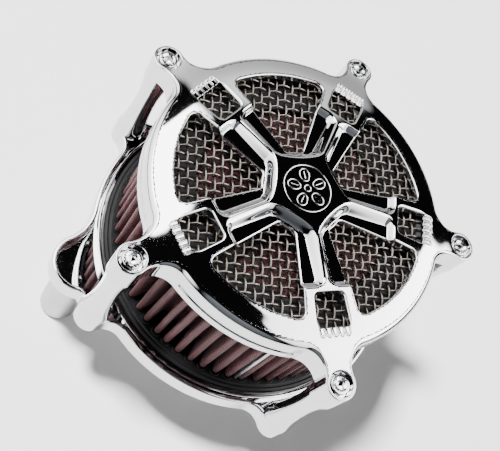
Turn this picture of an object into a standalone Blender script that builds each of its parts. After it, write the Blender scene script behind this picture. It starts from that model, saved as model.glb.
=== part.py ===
"""Round motorcycle air filter with an open five-spoke face, built as separate parts.

Metres, +Z up. The filter lies on its back: Z is the intake's axis, and the origin is the centre of
the intake bore at the back plate's engine side. One ear points along +Y.
"""

import math

import bmesh
import bpy
from mathutils import Vector

MM = 0.001
GAP = 0.3  # air left between two pieces that touch
CHORD_SAG = 0.12  # how far a flat may stand inside the arc it follows

# Driving dimensions, in millimetres and degrees.
SCREW_CIRCLE_R = 84.0
EAR_ANGLES = [90.0 + 72.0 * k for k in range(5)]
EAR_TOP_Z = 72.0
EAR_BOSS_R = 7.0
EAR_FILLET_R = 10.5
BOSS_BOTTOM_Z = 56.0
FACE_R = 70.5
SKIRT_BOTTOM_Z = 60.7
SKIRT_INNER_R = 67.6
DOME_TOP_Z = 80.8
DOME_DROP = 7.14  # how far the dome has fallen at the screw circle
DOME_EDGE_R = 68.0
FACE_UNDERSIDE_Z = 73.9
COUNTERBORE_R = 5.6
COUNTERBORE_Z = 66.0

LARGE_WINDOW_OUTER_R = 59.0
LARGE_WINDOW_INNER_R = 20.0
LARGE_WINDOW_APEX_X = 12.4
LARGE_WINDOW_HALF_ANGLE = 29.2
SMALL_WINDOW_R = (46.4, 65.5)
SMALL_WINDOW_HALF_WIDTH = (6.9, 8.0)
RIDGE_HALF_WIDTH = 3.5
SHELF_Z = 76.8
SHELF_X = (20.5, 43.5)

PLATE_R = 77.5
PLATE_RIM_Z = 10.5
PLATE_FLOOR_Z = 5.0
PLATE_RIM_WIDTH = 2.4
POST_LOBE_R = 7.6
POST_FILLET_R = 9.0
POST_TOP_Z = BOSS_BOTTOM_Z - GAP
BREATHER_CIRCLE_R = 82.7
BREATHER_ANGLES = {"right": 2.6, "left": 177.4}
BREATHER_LOBE_R = 14.0
BREATHER_FILLET_R = 22.0
NOTCH_FILLET_R = 2.5
SEAT_LIP_R = (73.0, 74.3)
SEAT_LIP_Z = 9.5
INTAKE_BORE_R = 27.0

SLEEVE_R = 9.2
SLEEVE_BORE_R = 5.5
SLEEVE_BOTTOM_Z = -44.0
SPIGOT_R = 6.0
SPIGOT_TOP_Z = 2.7
PASSAGE_R = 2.2
PASSAGE_BOTTOM_Z = -8.0
O_RING_GROOVE_R = 7.2
O_RING_GROOVE_UP = (3.0, 5.6)  # above the sleeve's open end
O_RING_R = 5.9
O_RING_HALF_THICKNESS = 0.95

PLEATS = 62
PLEAT_TIP_R = 66.8
PLEAT_ROOT_R = 62.6
PLEAT_INNER_R = 51.0
SEAM_ANGLE = 73.5
FILTER_BASE_TOP_Z = 11.3
FILTER_TOP_Z = (64.0, 68.8)

RING_EDGE = 1.2
BASE_RING_R = (47.0, 71.6)
TOP_RING_R = (46.0, 66.8)
TOP_MEDIA_R = (4.4, 45.6)
TOP_MEDIA_RIM_WIDTH = 8.0
TOP_MEDIA_RIM_Z = (64.2, 66.4)
TOP_MEDIA_BEND_Z = 62.4
TOP_MEDIA_CENTRE_Z = (57.2, 61.2)
TOP_CAP_R = 4.0
TOP_CAP_Z = (56.6, 62.2)
CAGE_THICKNESS = 0.9
SEAM_CLIP_DEPTH = 1.8
SEAM_CLIP_HALF_WIDTH = 0.6
SEAM_SLOT_R = 1.6

MESH_R = 62.8
MESH_Z = (71.8, 73.6)
RETAINER_R = (60.0, 66.3)
RETAINER_Z = (69.1, 71.5)
RETAINER_SCREW_CIRCLE_R = 64.6
RETAINER_SCREW_HEAD_R = 2.4
RETAINER_SCREW_SHANK_R = 1.0
RETAINER_SCREW_CONE = 1.5  # height of the countersunk head
RETAINER_SCREW_TIP_Z = 75.2
BLIND_HOLE_R = 1.3
BLIND_HOLE_TOP_Z = 75.6

FACE_SCREW_HEAD_R = 4.25
FACE_SCREW_HEAD_Z = (66.2, 71.2)
FACE_SCREW_SHANK_R = 2.5
FACE_SCREW_TIP_Z = 42.0
FACE_SCREW_SOCKET = (2.3, 2.6)  # hexagon's corner radius and depth
CLEARANCE_HOLE_R = 2.8
POST_BORE_BOTTOM_Z = 39.0
POST_WAIST = ((6.4, POST_TOP_Z), (5.5, 45.0), (5.0, 36.0), (5.3, 26.0), (6.2, 16.0), (7.2, 9.0), (7.2, 2.0))

FLANGE_R = 38.0
FLANGE_TOP_Z = 8.3
BELL_MOUTH_BORE_R = 24.6
BELL_MOUTH_BOTTOM_Z = 0.5
BELL_MOUTH_LIP = ((25.0, 15.0), (26.4, 17.0), (28.4, 16.4), (28.9, 15.0), (28.4, 13.4), (27.4, FLANGE_TOP_Z))
GASKET_BOTTOM_Z = -2.0
INTAKE_SCREW_ANGLES = (30.0, 150.0, 270.0)
INTAKE_SCREW_CIRCLE_R = 32.0
INTAKE_SCREW_HEAD = ((2.2, 11.4), (3.6, 10.6), (4.2, 8.6))
INTAKE_SCREW_SOCKET = (1.6, 1.8)
INTAKE_SCREW_SHANK_R = 2.4
INTAKE_SCREW_TIP_Z = -12.0

PARTS = "air_filter"
CUTTERS = "air_filter_cutters"


# Scene and materials


def clear_scene():
    for obj in list(bpy.data.objects):
        bpy.data.objects.remove(obj, do_unlink=True)
    for name in (PARTS, CUTTERS):
        made = bpy.data.collections.new(name)
        bpy.context.scene.collection.children.link(made)


def material(name, color, roughness, metallic):
    made = bpy.data.materials.new(name)
    made.use_nodes = True
    shader = made.node_tree.nodes["Principled BSDF"]
    shader.inputs["Base Color"].default_value = (*color, 1.0)
    shader.inputs["Roughness"].default_value = roughness
    shader.inputs["Metallic"].default_value = metallic
    made.diffuse_color = (*color, 1.0)
    return made


def as_cutter(obj):
    """Moves a helper among the cutters, out of the render."""
    bpy.data.collections[PARTS].objects.unlink(obj)
    bpy.data.collections[CUTTERS].objects.link(obj)
    obj.hide_render = True
    obj.display_type = "WIRE"
    return obj


def finished(obj, surface):
    """Gives a part its material and smooth round faces."""
    obj.data.materials.clear()
    obj.data.materials.append(surface)
    obj.data.shade_smooth()
    obj.data.set_sharp_from_angle(angle=math.radians(35))
    return obj


# Points and outlines, in millimetres


def polar(radius, degrees):
    turn = math.radians(degrees)
    return Vector((radius * math.cos(turn), radius * math.sin(turn)))


def arc(centre, radius, start, end):
    """Points along an arc between two angles in radians, with flats no deeper than CHORD_SAG."""
    pieces = max(2, math.ceil(abs(end - start) / math.sqrt(8 * CHORD_SAG / radius)))
    turns = [start + (end - start) * i / pieces for i in range(pieces + 1)]
    return [centre + Vector((math.cos(t), math.sin(t))) * radius for t in turns]


def fillet_centre(first, second, fillet):
    """Centre of the fillet between two circles (centre, radius), to the right of the way between them."""
    across = second[0] - first[0]
    near, far = first[1] + fillet, second[1] + fillet
    along = (near**2 - far**2 + across.length**2) / (2 * across.length)
    aside = math.sqrt(near**2 - along**2)
    unit = across.normalized()
    return first[0] + unit * along + Vector((unit.y, -unit.x)) * aside


def heading(origin, target):
    return math.atan2(target.y - origin.y, target.x - origin.x)


def lobed_outline(circles, fillets, inset=0.0):
    """Outline round circles (centre, radius), listed anticlockwise, with a concave fillet after each."""
    circles = [(centre, radius - inset) for centre, radius in circles]
    fillets = [fillet + inset for fillet in fillets]
    centres = [
        fillet_centre(circle, circles[(i + 1) % len(circles)], fillets[i])
        for i, circle in enumerate(circles)
    ]
    points = []
    for i, (centre, radius) in enumerate(circles):
        start = heading(centre, centres[i - 1])
        end = heading(centre, centres[i])
        while end < start:
            end += 2 * math.pi
        points += arc(centre, radius, start, end)[:-1]
        after = circles[(i + 1) % len(circles)][0]
        start = heading(centres[i], centre)
        end = heading(centres[i], after)
        while end > start:
            end -= 2 * math.pi
        points += arc(centres[i], fillets[i], start, end)[:-1]
    return points


def rounded_polygon(corners, radius):
    """A convex polygon, listed anticlockwise, with round corners."""
    points = []
    for i, corner in enumerate(corners):
        before = (corners[i - 1] - corner).normalized()
        after = (corners[(i + 1) % len(corners)] - corner).normalized()
        half = before.angle(after) / 2
        centre = corner + (before + after).normalized() * (radius / math.sin(half))
        start = heading(centre, corner + before * (radius / math.tan(half)))
        turn = math.pi - 2 * half
        points += arc(centre, radius, start, start + turn)
    return points


def large_window_outline(outer_corner=3.5, inner_corner=2.0):
    """The window between two spokes, about +X: two arcs on the filter's axis and two straight sides."""
    half = math.radians(LARGE_WINDOW_HALF_ANGLE)
    along = Vector((math.cos(half), math.sin(half)))
    inward = Vector((math.sin(half), -math.cos(half)))
    apex = Vector((LARGE_WINDOW_APEX_X, 0.0))

    def corner_centre(corner, reach):
        start = apex + inward * corner
        lean = start.dot(along)
        return start + along * (math.sqrt(lean**2 - start.length_squared + reach**2) - lean)

    side = math.atan2(-inward.y, -inward.x)
    origin = Vector((0.0, 0.0))
    outer = corner_centre(outer_corner, LARGE_WINDOW_OUTER_R - outer_corner)
    inner = corner_centre(inner_corner, LARGE_WINDOW_INNER_R + inner_corner)
    outer_turn = heading(origin, outer)
    inner_turn = heading(origin, inner)
    upper = arc(origin, LARGE_WINDOW_OUTER_R, 0.0, outer_turn)
    upper += arc(outer, outer_corner, outer_turn, side)[1:]
    upper += arc(inner, inner_corner, side, inner_turn + math.pi)
    upper += arc(origin, LARGE_WINDOW_INNER_R, inner_turn, 0.0)[1:]
    lower = [Vector((p.x, -p.y)) for p in reversed(upper[1:-1])]
    return upper + lower


def turned_points(points, degrees):
    turn = math.radians(degrees)
    cosine, sine = math.cos(turn), math.sin(turn)
    return [Vector((p.x * cosine - p.y * sine, p.x * sine + p.y * cosine)) for p in points]


# Solids


def lathe(name, profile, steps, at=(0.0, 0.0)):
    """Turns a profile of (radius, z), running down its outer side. A profile off the axis is closed."""
    mesh = bpy.data.meshes.new(name)
    count = len(profile)
    closed = profile[0][0] > 0 and profile[-1][0] > 0
    edges = [(i, (i + 1) % count) for i in range(count if closed else count - 1)]
    mesh.from_pydata([(r * MM, 0.0, z * MM) for r, z in profile], edges, [])
    obj = bpy.data.objects.new(name, mesh)
    bpy.data.collections[PARTS].objects.link(obj)
    obj.location = (at[0] * MM, at[1] * MM, 0.0)
    turn = obj.modifiers.new("turn", "SCREW")
    turn.steps = turn.render_steps = steps
    turn.use_merge_vertices = True
    turn.merge_threshold = 0.00001
    return as_mesh(obj)


def as_mesh(obj):
    """Replaces a curve or a modified object by the mesh it evaluates to, with its seams welded."""
    graph = bpy.context.evaluated_depsgraph_get()
    mesh = bpy.data.meshes.new_from_object(obj.evaluated_get(graph))
    shape = bmesh.new()
    shape.from_mesh(mesh)
    bmesh.ops.remove_doubles(shape, verts=shape.verts, dist=0.000002)
    shape.to_mesh(mesh)
    shape.free()
    made = bpy.data.objects.new(obj.name, mesh)
    made.location = obj.location
    collection = obj.users_collection[0]
    name = obj.name
    bpy.data.objects.remove(obj, do_unlink=True)
    collection.objects.link(made)
    made.name = name
    bpy.context.view_layer.update()
    return made


def extruded(name, outline, low, high):
    """A flat outline as a solid between two heights."""
    curve = bpy.data.curves.new(name, "CURVE")
    curve.dimensions = "2D"
    curve.fill_mode = "BOTH"
    curve.extrude = (high - low) / 2 * MM
    spline = curve.splines.new("POLY")
    spline.points.add(len(outline) - 1)
    for point, place in zip(spline.points, outline):
        point.co = (place.x * MM, place.y * MM, 0.0, 1.0)
    spline.use_cyclic_u = True
    obj = bpy.data.objects.new(name, curve)
    bpy.data.collections[PARTS].objects.link(obj)
    obj.location.z = (high + low) / 2 * MM
    return as_mesh(obj)


def cylinder(name, radius, low, high, at=(0.0, 0.0), sides=20):
    mesh = bpy.data.meshes.new(name)
    shape = bmesh.new()
    bmesh.ops.create_cone(
        shape,
        cap_ends=True,
        segments=sides,
        radius1=radius * MM,
        radius2=radius * MM,
        depth=(high - low) * MM,
    )
    shape.to_mesh(mesh)
    shape.free()
    obj = bpy.data.objects.new(name, mesh)
    bpy.data.collections[PARTS].objects.link(obj)
    obj.location = (at[0] * MM, at[1] * MM, (low + high) / 2 * MM)
    return obj


def boolean(target, tool, operation):
    step = target.modifiers.new(tool.name, "BOOLEAN")
    step.operation = operation
    step.solver = "EXACT"
    step.object = as_cutter(tool)


def cut(target, *tools):
    for tool in tools:
        boolean(target, tool, "DIFFERENCE")


def join(target, *tools):
    for tool in tools:
        boolean(target, tool, "UNION")


# Cover


def dome_z(radius):
    return DOME_TOP_Z - DOME_DROP * (radius / SCREW_CIRCLE_R) ** 2


def ear_outline():
    """The face's outline: a circle with five ears."""
    origin = Vector((0.0, 0.0))
    circles = []
    for angle in EAR_ANGLES:
        circles.append((origin, FACE_R - 0.4))
        circles.append((polar(SCREW_CIRCLE_R, angle), EAR_BOSS_R))
    return lobed_outline(circles, [EAR_FILLET_R] * len(circles))


def face_body():
    """The domed disc with its skirt, hollow underneath."""
    top = [(r, dome_z(r)) for r in (0.0, 20.0, 40.0, 55.0, DOME_EDGE_R)]
    rim = [
        (FACE_R - 0.5, dome_z(DOME_EDGE_R) - 1.3),
        (FACE_R, dome_z(DOME_EDGE_R) - 3.2),
        (FACE_R, SKIRT_BOTTOM_Z + 0.8),
        (FACE_R - 0.8, SKIRT_BOTTOM_Z),
        (SKIRT_INNER_R, SKIRT_BOTTOM_Z),
        (SKIRT_INNER_R, FACE_UNDERSIDE_Z - 2.0),
        (SKIRT_INNER_R - 0.7, FACE_UNDERSIDE_Z),
        (0.0, FACE_UNDERSIDE_Z),
    ]
    return lathe("face_plate", top + rim, 60)


def window_cutters():
    low, high = FACE_UNDERSIDE_Z - 5.0, DOME_TOP_Z + 5.0
    inner, outer = SMALL_WINDOW_HALF_WIDTH
    corners = [
        Vector((SMALL_WINDOW_R[0], -inner)),
        Vector((SMALL_WINDOW_R[1], -outer)),
        Vector((SMALL_WINDOW_R[1], outer)),
        Vector((SMALL_WINDOW_R[0], inner)),
    ]
    tools = []
    for k, angle in enumerate(EAR_ANGLES):
        large = turned_points(large_window_outline(), angle + 36.0)
        small = turned_points(rounded_polygon(corners, 2.5), angle)
        tools.append(extruded(f"large_window_{k + 1}", large, low, high))
        tools.append(extruded(f"small_window_{k + 1}", small, low, high))
    return tools


def shelf_cutters():
    """Pockets on both sides of each spoke's ridge, open to the windows."""
    reach = 13.0
    tools = []
    for k, angle in enumerate(EAR_ANGLES):
        for side in (1, -1):
            corners = [
                Vector((SHELF_X[0], side * RIDGE_HALF_WIDTH)),
                Vector((SHELF_X[1], side * RIDGE_HALF_WIDTH)),
                Vector((SHELF_X[1], side * reach)),
                Vector((SHELF_X[0], side * reach)),
            ]
            if side < 0:
                corners.reverse()
            outline = turned_points(rounded_polygon(corners, 2.0), angle)
            tools.append(extruded(f"shelf_{k + 1}_{side}", outline, SHELF_Z, DOME_TOP_Z + 5.0))
    return tools


def face_plate(surface):
    body = face_body()
    outline = ear_outline()
    ears = extruded("ears", outline, SKIRT_BOTTOM_Z, EAR_TOP_Z)
    hollow = cylinder("ear_hollow", FACE_R - 1.2, SKIRT_BOTTOM_Z - 5, EAR_TOP_Z + 5, sides=60)
    cut(ears, hollow)
    join(body, as_mesh(ears))
    for k, angle in enumerate(EAR_ANGLES):
        at = polar(SCREW_CIRCLE_R, angle)
        join(body, cylinder(f"boss_{k + 1}", EAR_BOSS_R, BOSS_BOTTOM_Z, EAR_TOP_Z, at, 24))
    cut(body, *window_cutters())
    cut(body, *shelf_cutters())
    for k, angle in enumerate(EAR_ANGLES):
        at = polar(SCREW_CIRCLE_R, angle)
        cut(body, cylinder(f"counterbore_{k + 1}", COUNTERBORE_R, COUNTERBORE_Z, 80.0, at, 20))
        cut(body, cylinder(f"ear_hole_{k + 1}", CLEARANCE_HOLE_R, 50.0, 80.0, at, 12))
        blind = polar(RETAINER_SCREW_CIRCLE_R, angle + 36.0)
        cut(body, cylinder(f"blind_hole_{k + 1}", BLIND_HOLE_R, 70.0, BLIND_HOLE_TOP_Z, blind, 12))
    return finished(as_mesh(body), surface)


def face_screw(number, surface):
    """Socket-head cap screw with a hexagon socket."""
    at = polar(SCREW_CIRCLE_R, EAR_ANGLES[number - 1])
    low, high = FACE_SCREW_HEAD_Z
    profile = [
        (0.0, high),
        (FACE_SCREW_HEAD_R - 0.5, high),
        (FACE_SCREW_HEAD_R, high - 0.5),
        (FACE_SCREW_HEAD_R, low),
        (FACE_SCREW_SHANK_R, low),
        (FACE_SCREW_SHANK_R, FACE_SCREW_TIP_Z + 0.6),
        (FACE_SCREW_SHANK_R - 0.6, FACE_SCREW_TIP_Z),
        (0.0, FACE_SCREW_TIP_Z),
    ]
    screw = lathe(f"face_screw_{number}", profile, 16, at)
    corner, depth = FACE_SCREW_SOCKET
    cut(screw, cylinder(f"socket_{number}", corner, high - depth, high + 2.0, at, 6))
    return finished(as_mesh(screw), surface)


def face_mesh(surface):
    low, high = MESH_Z
    profile = [(0.0, high), (MESH_R, high), (MESH_R, low), (0.0, low)]
    return finished(lathe("face_mesh", profile, 48), surface)


def mesh_retainer(surface):
    (inner, outer), (low, high) = RETAINER_R, RETAINER_Z
    profile = [(outer, high), (outer, low), (inner, low), (inner, high)]
    body = lathe("mesh_retainer", profile, 48)
    hole, sink = RETAINER_SCREW_SHANK_R + 0.35, RETAINER_SCREW_HEAD_R + 0.45
    past = 5.0
    seat = [
        (0.0, high + past),
        (hole, high + past),
        (hole, low + RETAINER_SCREW_CONE),
        (sink, low),
        (sink, low - past),
        (0.0, low - past),
    ]
    for k, angle in enumerate(EAR_ANGLES):
        at = polar(RETAINER_SCREW_CIRCLE_R, angle + 36.0)
        cut(body, lathe(f"countersink_{k + 1}", seat, 12, at))
    return finished(as_mesh(body), surface)


def retainer_screw(number, surface):
    """Small countersunk screw, driven upwards from inside."""
    at = polar(RETAINER_SCREW_CIRCLE_R, EAR_ANGLES[number - 1] + 36.0)
    low = RETAINER_Z[0]
    face = low + GAP / 2
    profile = [
        (0.0, RETAINER_SCREW_TIP_Z),
        (RETAINER_SCREW_SHANK_R, RETAINER_SCREW_TIP_Z),
        (RETAINER_SCREW_SHANK_R, low + RETAINER_SCREW_CONE),
        (RETAINER_SCREW_HEAD_R, face),
        (0.0, face),
    ]
    screw = lathe(f"retainer_screw_{number}", profile, 12, at)
    return finished(screw, surface)


# Filter element


def rubber_ring(name, radii, heights, surface):
    """A moulded ring with chamfered edges."""
    (inner, outer), (low, high), edge = radii, heights, RING_EDGE
    profile = [
        (inner + edge, high),
        (outer - edge, high),
        (outer, high - edge),
        (outer, low + edge),
        (outer - edge, low),
        (inner, low),
        (inner, high - edge),
    ]
    return finished(lathe(name, profile, 48), surface)


def pleat_outline():
    """Folds that swing between the tip and root radii, two points on each tip and one in each root."""
    points = []
    pitch = 360.0 / PLEATS
    for k in range(PLEATS):
        middle = SEAM_ANGLE + pitch / 2 + k * pitch
        points.append(polar(PLEAT_ROOT_R, middle - pitch / 2))
        points.append(polar(PLEAT_TIP_R, middle - pitch / 4))
        points.append(polar(PLEAT_TIP_R, middle + pitch / 4))
    return points


def filter_pleats(surface):
    low, high = FILTER_BASE_TOP_Z + GAP, FILTER_TOP_Z[0] - GAP
    body = extruded("filter_pleats", pleat_outline(), low, high)
    cut(body, cylinder("pleat_bore", PLEAT_INNER_R, low - 5, high + 5, sides=48))
    slot = cylinder("seam_slot", SEAM_SLOT_R, low - 5, high + 5, polar(PLEAT_TIP_R - 0.8, SEAM_ANGLE), 12)
    cut(body, slot)
    return finished(as_mesh(body), surface)


def filter_seam_clip(surface):
    """Folded metal strip in the root between the two end pleats."""
    low, high = FILTER_BASE_TOP_Z + GAP, FILTER_TOP_Z[0] - GAP
    inner, half = PLEAT_TIP_R - SEAM_CLIP_DEPTH, SEAM_CLIP_HALF_WIDTH
    corners = [
        Vector((inner, -half)),
        Vector((PLEAT_TIP_R, -half)),
        Vector((PLEAT_TIP_R, half)),
        Vector((inner, half)),
    ]
    outline = turned_points(rounded_polygon(corners, 0.25), SEAM_ANGLE)
    return finished(extruded("filter_seam_clip", outline, low, high), surface)


def filter_top_media(surface):
    """Shallow dish of pleated media that closes the filter's front."""
    inner, edge = TOP_MEDIA_R
    bend = edge - TOP_MEDIA_RIM_WIDTH
    profile = [
        (inner, TOP_MEDIA_CENTRE_Z[1]),
        (bend, TOP_MEDIA_RIM_Z[1]),
        (edge, TOP_MEDIA_RIM_Z[1]),
        (edge, TOP_MEDIA_RIM_Z[0]),
        (bend, TOP_MEDIA_BEND_Z),
        (inner, TOP_MEDIA_CENTRE_Z[0]),
    ]
    return finished(lathe("filter_top_media", profile, 36), surface)


def filter_top_cap(surface):
    low, high = TOP_CAP_Z
    profile = [(0.0, high), (TOP_CAP_R, high - 0.2), (TOP_CAP_R, low), (0.0, low)]
    return finished(lathe("filter_top_cap", profile, 20), surface)


def filter_cage(surface):
    low, high = FILTER_BASE_TOP_Z + GAP, FILTER_TOP_Z[0] - GAP
    outer = PLEAT_INNER_R - GAP
    inner = outer - CAGE_THICKNESS
    profile = [(outer, high), (outer, low), (inner, low), (inner, high)]
    return finished(lathe("filter_cage", profile, 36), surface)


# Engine side


def plate_circles():
    """The circles that the back plate's outline goes round, anticlockwise, and the fillets between them."""
    origin = Vector((0.0, 0.0))
    lobes = {}
    for angle in EAR_ANGLES:
        lobes[angle % 360] = (polar(SCREW_CIRCLE_R, angle), POST_LOBE_R)
    breathers = {}
    for angle in BREATHER_ANGLES.values():
        breathers[angle] = (polar(BREATHER_CIRCLE_R, angle), BREATHER_LOBE_R)
    order = sorted({**lobes, **breathers}.items())
    circles = []
    fillets = []
    for i, (angle, circle) in enumerate(order):
        following = order[(i + 1) % len(order)][0]
        circles.append(circle)
        if (following - angle) % 360 < 20:
            fillets.append(NOTCH_FILLET_R)
            continue
        fillets.append(BREATHER_FILLET_R if angle in breathers else POST_FILLET_R)
        circles.append((origin, PLATE_R))
        fillets.append(BREATHER_FILLET_R if following in breathers else POST_FILLET_R)
    return circles, fillets


def plate_shell():
    """The plate with its raised rim and recessed floor."""
    circles, fillets = plate_circles()
    outline = lobed_outline(circles, fillets)
    pocket = lobed_outline(circles, fillets, inset=PLATE_RIM_WIDTH)
    body = extruded("back_plate", outline, 0.0, PLATE_RIM_Z)
    cut(body, extruded("floor_pocket", pocket, PLATE_FLOOR_Z, PLATE_RIM_Z + 5.0))
    inner, outer = SEAT_LIP_R
    lip = [(outer, SEAT_LIP_Z), (outer, 4.0), (inner, 4.0), (inner, SEAT_LIP_Z)]
    join(body, lathe("seat_lip", lip, 60))
    return body


def post(number):
    """A waisted post that carries one ear."""
    at = polar(SCREW_CIRCLE_R, EAR_ANGLES[number - 1])
    profile = [(0.0, POST_TOP_Z), *POST_WAIST, (0.0, POST_WAIST[-1][1])]
    return lathe(f"post_{number}", profile, 16, at)


def back_plate(surface):
    body = plate_shell()
    for number in range(1, 6):
        join(body, post(number))
    for k, angle in enumerate(EAR_ANGLES):
        at = polar(SCREW_CIRCLE_R, angle)
        cut(body, cylinder(f"post_bore_{k + 1}", CLEARANCE_HOLE_R, POST_BORE_BOTTOM_Z, 70.0, at, 12))
    cut(body, cylinder("intake_bore", INTAKE_BORE_R, -5.0, 20.0, sides=36))
    for k, angle in enumerate(INTAKE_SCREW_ANGLES):
        at = polar(INTAKE_SCREW_CIRCLE_R, angle)
        cut(body, cylinder(f"plate_hole_{k + 1}", CLEARANCE_HOLE_R, -5.0, 20.0, at, 12))
    for side, angle in BREATHER_ANGLES.items():
        at = polar(BREATHER_CIRCLE_R, angle)
        cut(body, cylinder(f"sleeve_socket_{side}", SPIGOT_R + GAP, -5.0, SPIGOT_TOP_Z + GAP, at, 24))
    return finished(as_mesh(body), surface)


def intake_ring(surface):
    """Bell-mouth whose flange clamps the plate to the throttle body."""
    profile = [
        *BELL_MOUTH_LIP[1:],
        (FLANGE_R, FLANGE_TOP_Z),
        (FLANGE_R, PLATE_FLOOR_Z + GAP),
        (INTAKE_BORE_R - GAP, PLATE_FLOOR_Z + GAP),
        (INTAKE_BORE_R - GAP, BELL_MOUTH_BOTTOM_Z),
        (BELL_MOUTH_BORE_R, BELL_MOUTH_BOTTOM_Z),
        (BELL_MOUTH_BORE_R, 12.0),
        BELL_MOUTH_LIP[0],
    ]
    body = lathe("intake_ring", profile, 36)
    for k, angle in enumerate(INTAKE_SCREW_ANGLES):
        at = polar(INTAKE_SCREW_CIRCLE_R, angle)
        cut(body, cylinder(f"ring_hole_{k + 1}", CLEARANCE_HOLE_R, 0.0, 12.0, at, 12))
    return finished(as_mesh(body), surface)


def intake_screw(number, surface):
    at = polar(INTAKE_SCREW_CIRCLE_R, INTAKE_SCREW_ANGLES[number - 1])
    top, under = INTAKE_SCREW_HEAD[0][1], INTAKE_SCREW_HEAD[-1][1]
    corner, depth = INTAKE_SCREW_SOCKET
    shank, tip = INTAKE_SCREW_SHANK_R, INTAKE_SCREW_TIP_Z
    profile = [
        (0.0, top),
        *INTAKE_SCREW_HEAD,
        (shank, under),
        (shank, tip + 0.6),
        (shank - 0.6, tip),
        (0.0, tip),
    ]
    screw = lathe(f"intake_screw_{number}", profile, 16, at)
    cut(screw, cylinder(f"intake_socket_{number}", corner, top - depth, top + 2.0, at, 6))
    return finished(as_mesh(screw), surface)


def throttle_gasket(surface):
    low = GASKET_BOTTOM_Z
    profile = [(FLANGE_R, -GAP), (FLANGE_R, low), (INTAKE_BORE_R, low), (INTAKE_BORE_R, -GAP)]
    body = lathe("throttle_gasket", profile, 36)
    for k, angle in enumerate(INTAKE_SCREW_ANGLES):
        at = polar(INTAKE_SCREW_CIRCLE_R, angle)
        cut(body, cylinder(f"gasket_hole_{k + 1}", CLEARANCE_HOLE_R, -6.0, 6.0, at, 12))
    return finished(as_mesh(body), surface)


def breather_sleeve(side, surface):
    """Spacer tube with a spigot in the plate, a breather bore and an O-ring groove at its open end."""
    at = polar(BREATHER_CIRCLE_R, BREATHER_ANGLES[side])
    groove = [SLEEVE_BOTTOM_Z + up for up in O_RING_GROOVE_UP]
    profile = [
        (PASSAGE_R, SPIGOT_TOP_Z),
        (SPIGOT_R, SPIGOT_TOP_Z),
        (SPIGOT_R, -GAP),
        (SLEEVE_R, -GAP),
        (SLEEVE_R, SLEEVE_BOTTOM_Z + 1.6),
        (SLEEVE_R - 0.5, SLEEVE_BOTTOM_Z + 0.5),
        (SLEEVE_R - 1.6, SLEEVE_BOTTOM_Z),
        (SLEEVE_BORE_R, SLEEVE_BOTTOM_Z),
        (SLEEVE_BORE_R, groove[0]),
        (O_RING_GROOVE_R, groove[0]),
        (O_RING_GROOVE_R, groove[1]),
        (SLEEVE_BORE_R, groove[1]),
        (SLEEVE_BORE_R, PASSAGE_BOTTOM_Z),
        (PASSAGE_R, PASSAGE_BOTTOM_Z),
    ]
    return finished(lathe(f"breather_sleeve_{side}", profile, 24, at), surface)


def sleeve_o_ring(side, surface):
    at = polar(BREATHER_CIRCLE_R, BREATHER_ANGLES[side])
    middle = SLEEVE_BOTTOM_Z + sum(O_RING_GROOVE_UP) / 2
    thick = O_RING_HALF_THICKNESS
    turns = [2 * math.pi * i / 8 for i in range(8)]
    profile = [(O_RING_R + thick * math.cos(t), middle - thick * math.sin(t)) for t in turns]
    return finished(lathe(f"sleeve_o_ring_{side}", profile, 20, at), surface)


# Assembly


def main():
    clear_scene()
    chrome = material("chrome", (0.86, 0.86, 0.87), 0.05, 1.0)
    screw_chrome = material("screw_chrome", (0.80, 0.80, 0.81), 0.12, 1.0)
    steel = material("zinc_steel", (0.55, 0.56, 0.57), 0.35, 1.0)
    wire = material("mesh_wire", (0.50, 0.46, 0.42), 0.35, 1.0)
    satin = material("satin_aluminium", (0.66, 0.67, 0.68), 0.42, 1.0)
    black = material("black_steel", (0.03, 0.03, 0.03), 0.5, 0.6)
    rubber = material("black_rubber", (0.02, 0.02, 0.02), 0.35, 0.0)
    media = material("oiled_gauze", (0.30, 0.07, 0.08), 0.75, 0.0)
    paper = material("gasket_paper", (0.12, 0.11, 0.10), 0.85, 0.0)

    face_plate(chrome)
    face_mesh(wire)
    mesh_retainer(black)
    for number in range(1, 6):
        face_screw(number, screw_chrome)
        retainer_screw(number, steel)

    filter_pleats(media)
    filter_seam_clip(steel)
    filter_top_media(media)
    filter_top_cap(rubber)
    filter_cage(steel)
    base_z = (PLATE_FLOOR_Z + GAP, FILTER_BASE_TOP_Z)
    rubber_ring("filter_base_ring", BASE_RING_R, base_z, rubber)
    rubber_ring("filter_top_ring", TOP_RING_R, FILTER_TOP_Z, rubber)

    back_plate(chrome)
    intake_ring(satin)
    throttle_gasket(paper)
    for number in range(1, 4):
        intake_screw(number, steel)
    for side in BREATHER_ANGLES:
        breather_sleeve(side, satin)
        sleeve_o_ring(side, rubber)


main()
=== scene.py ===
"""Looks of the round motorcycle air filter: chrome face and back plate, woven screen and gauze element."""

import math

import bpy
import numpy as np
from mathutils import Matrix, Vector
from mathutils.geometry import delaunay_2d_cdt


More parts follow.
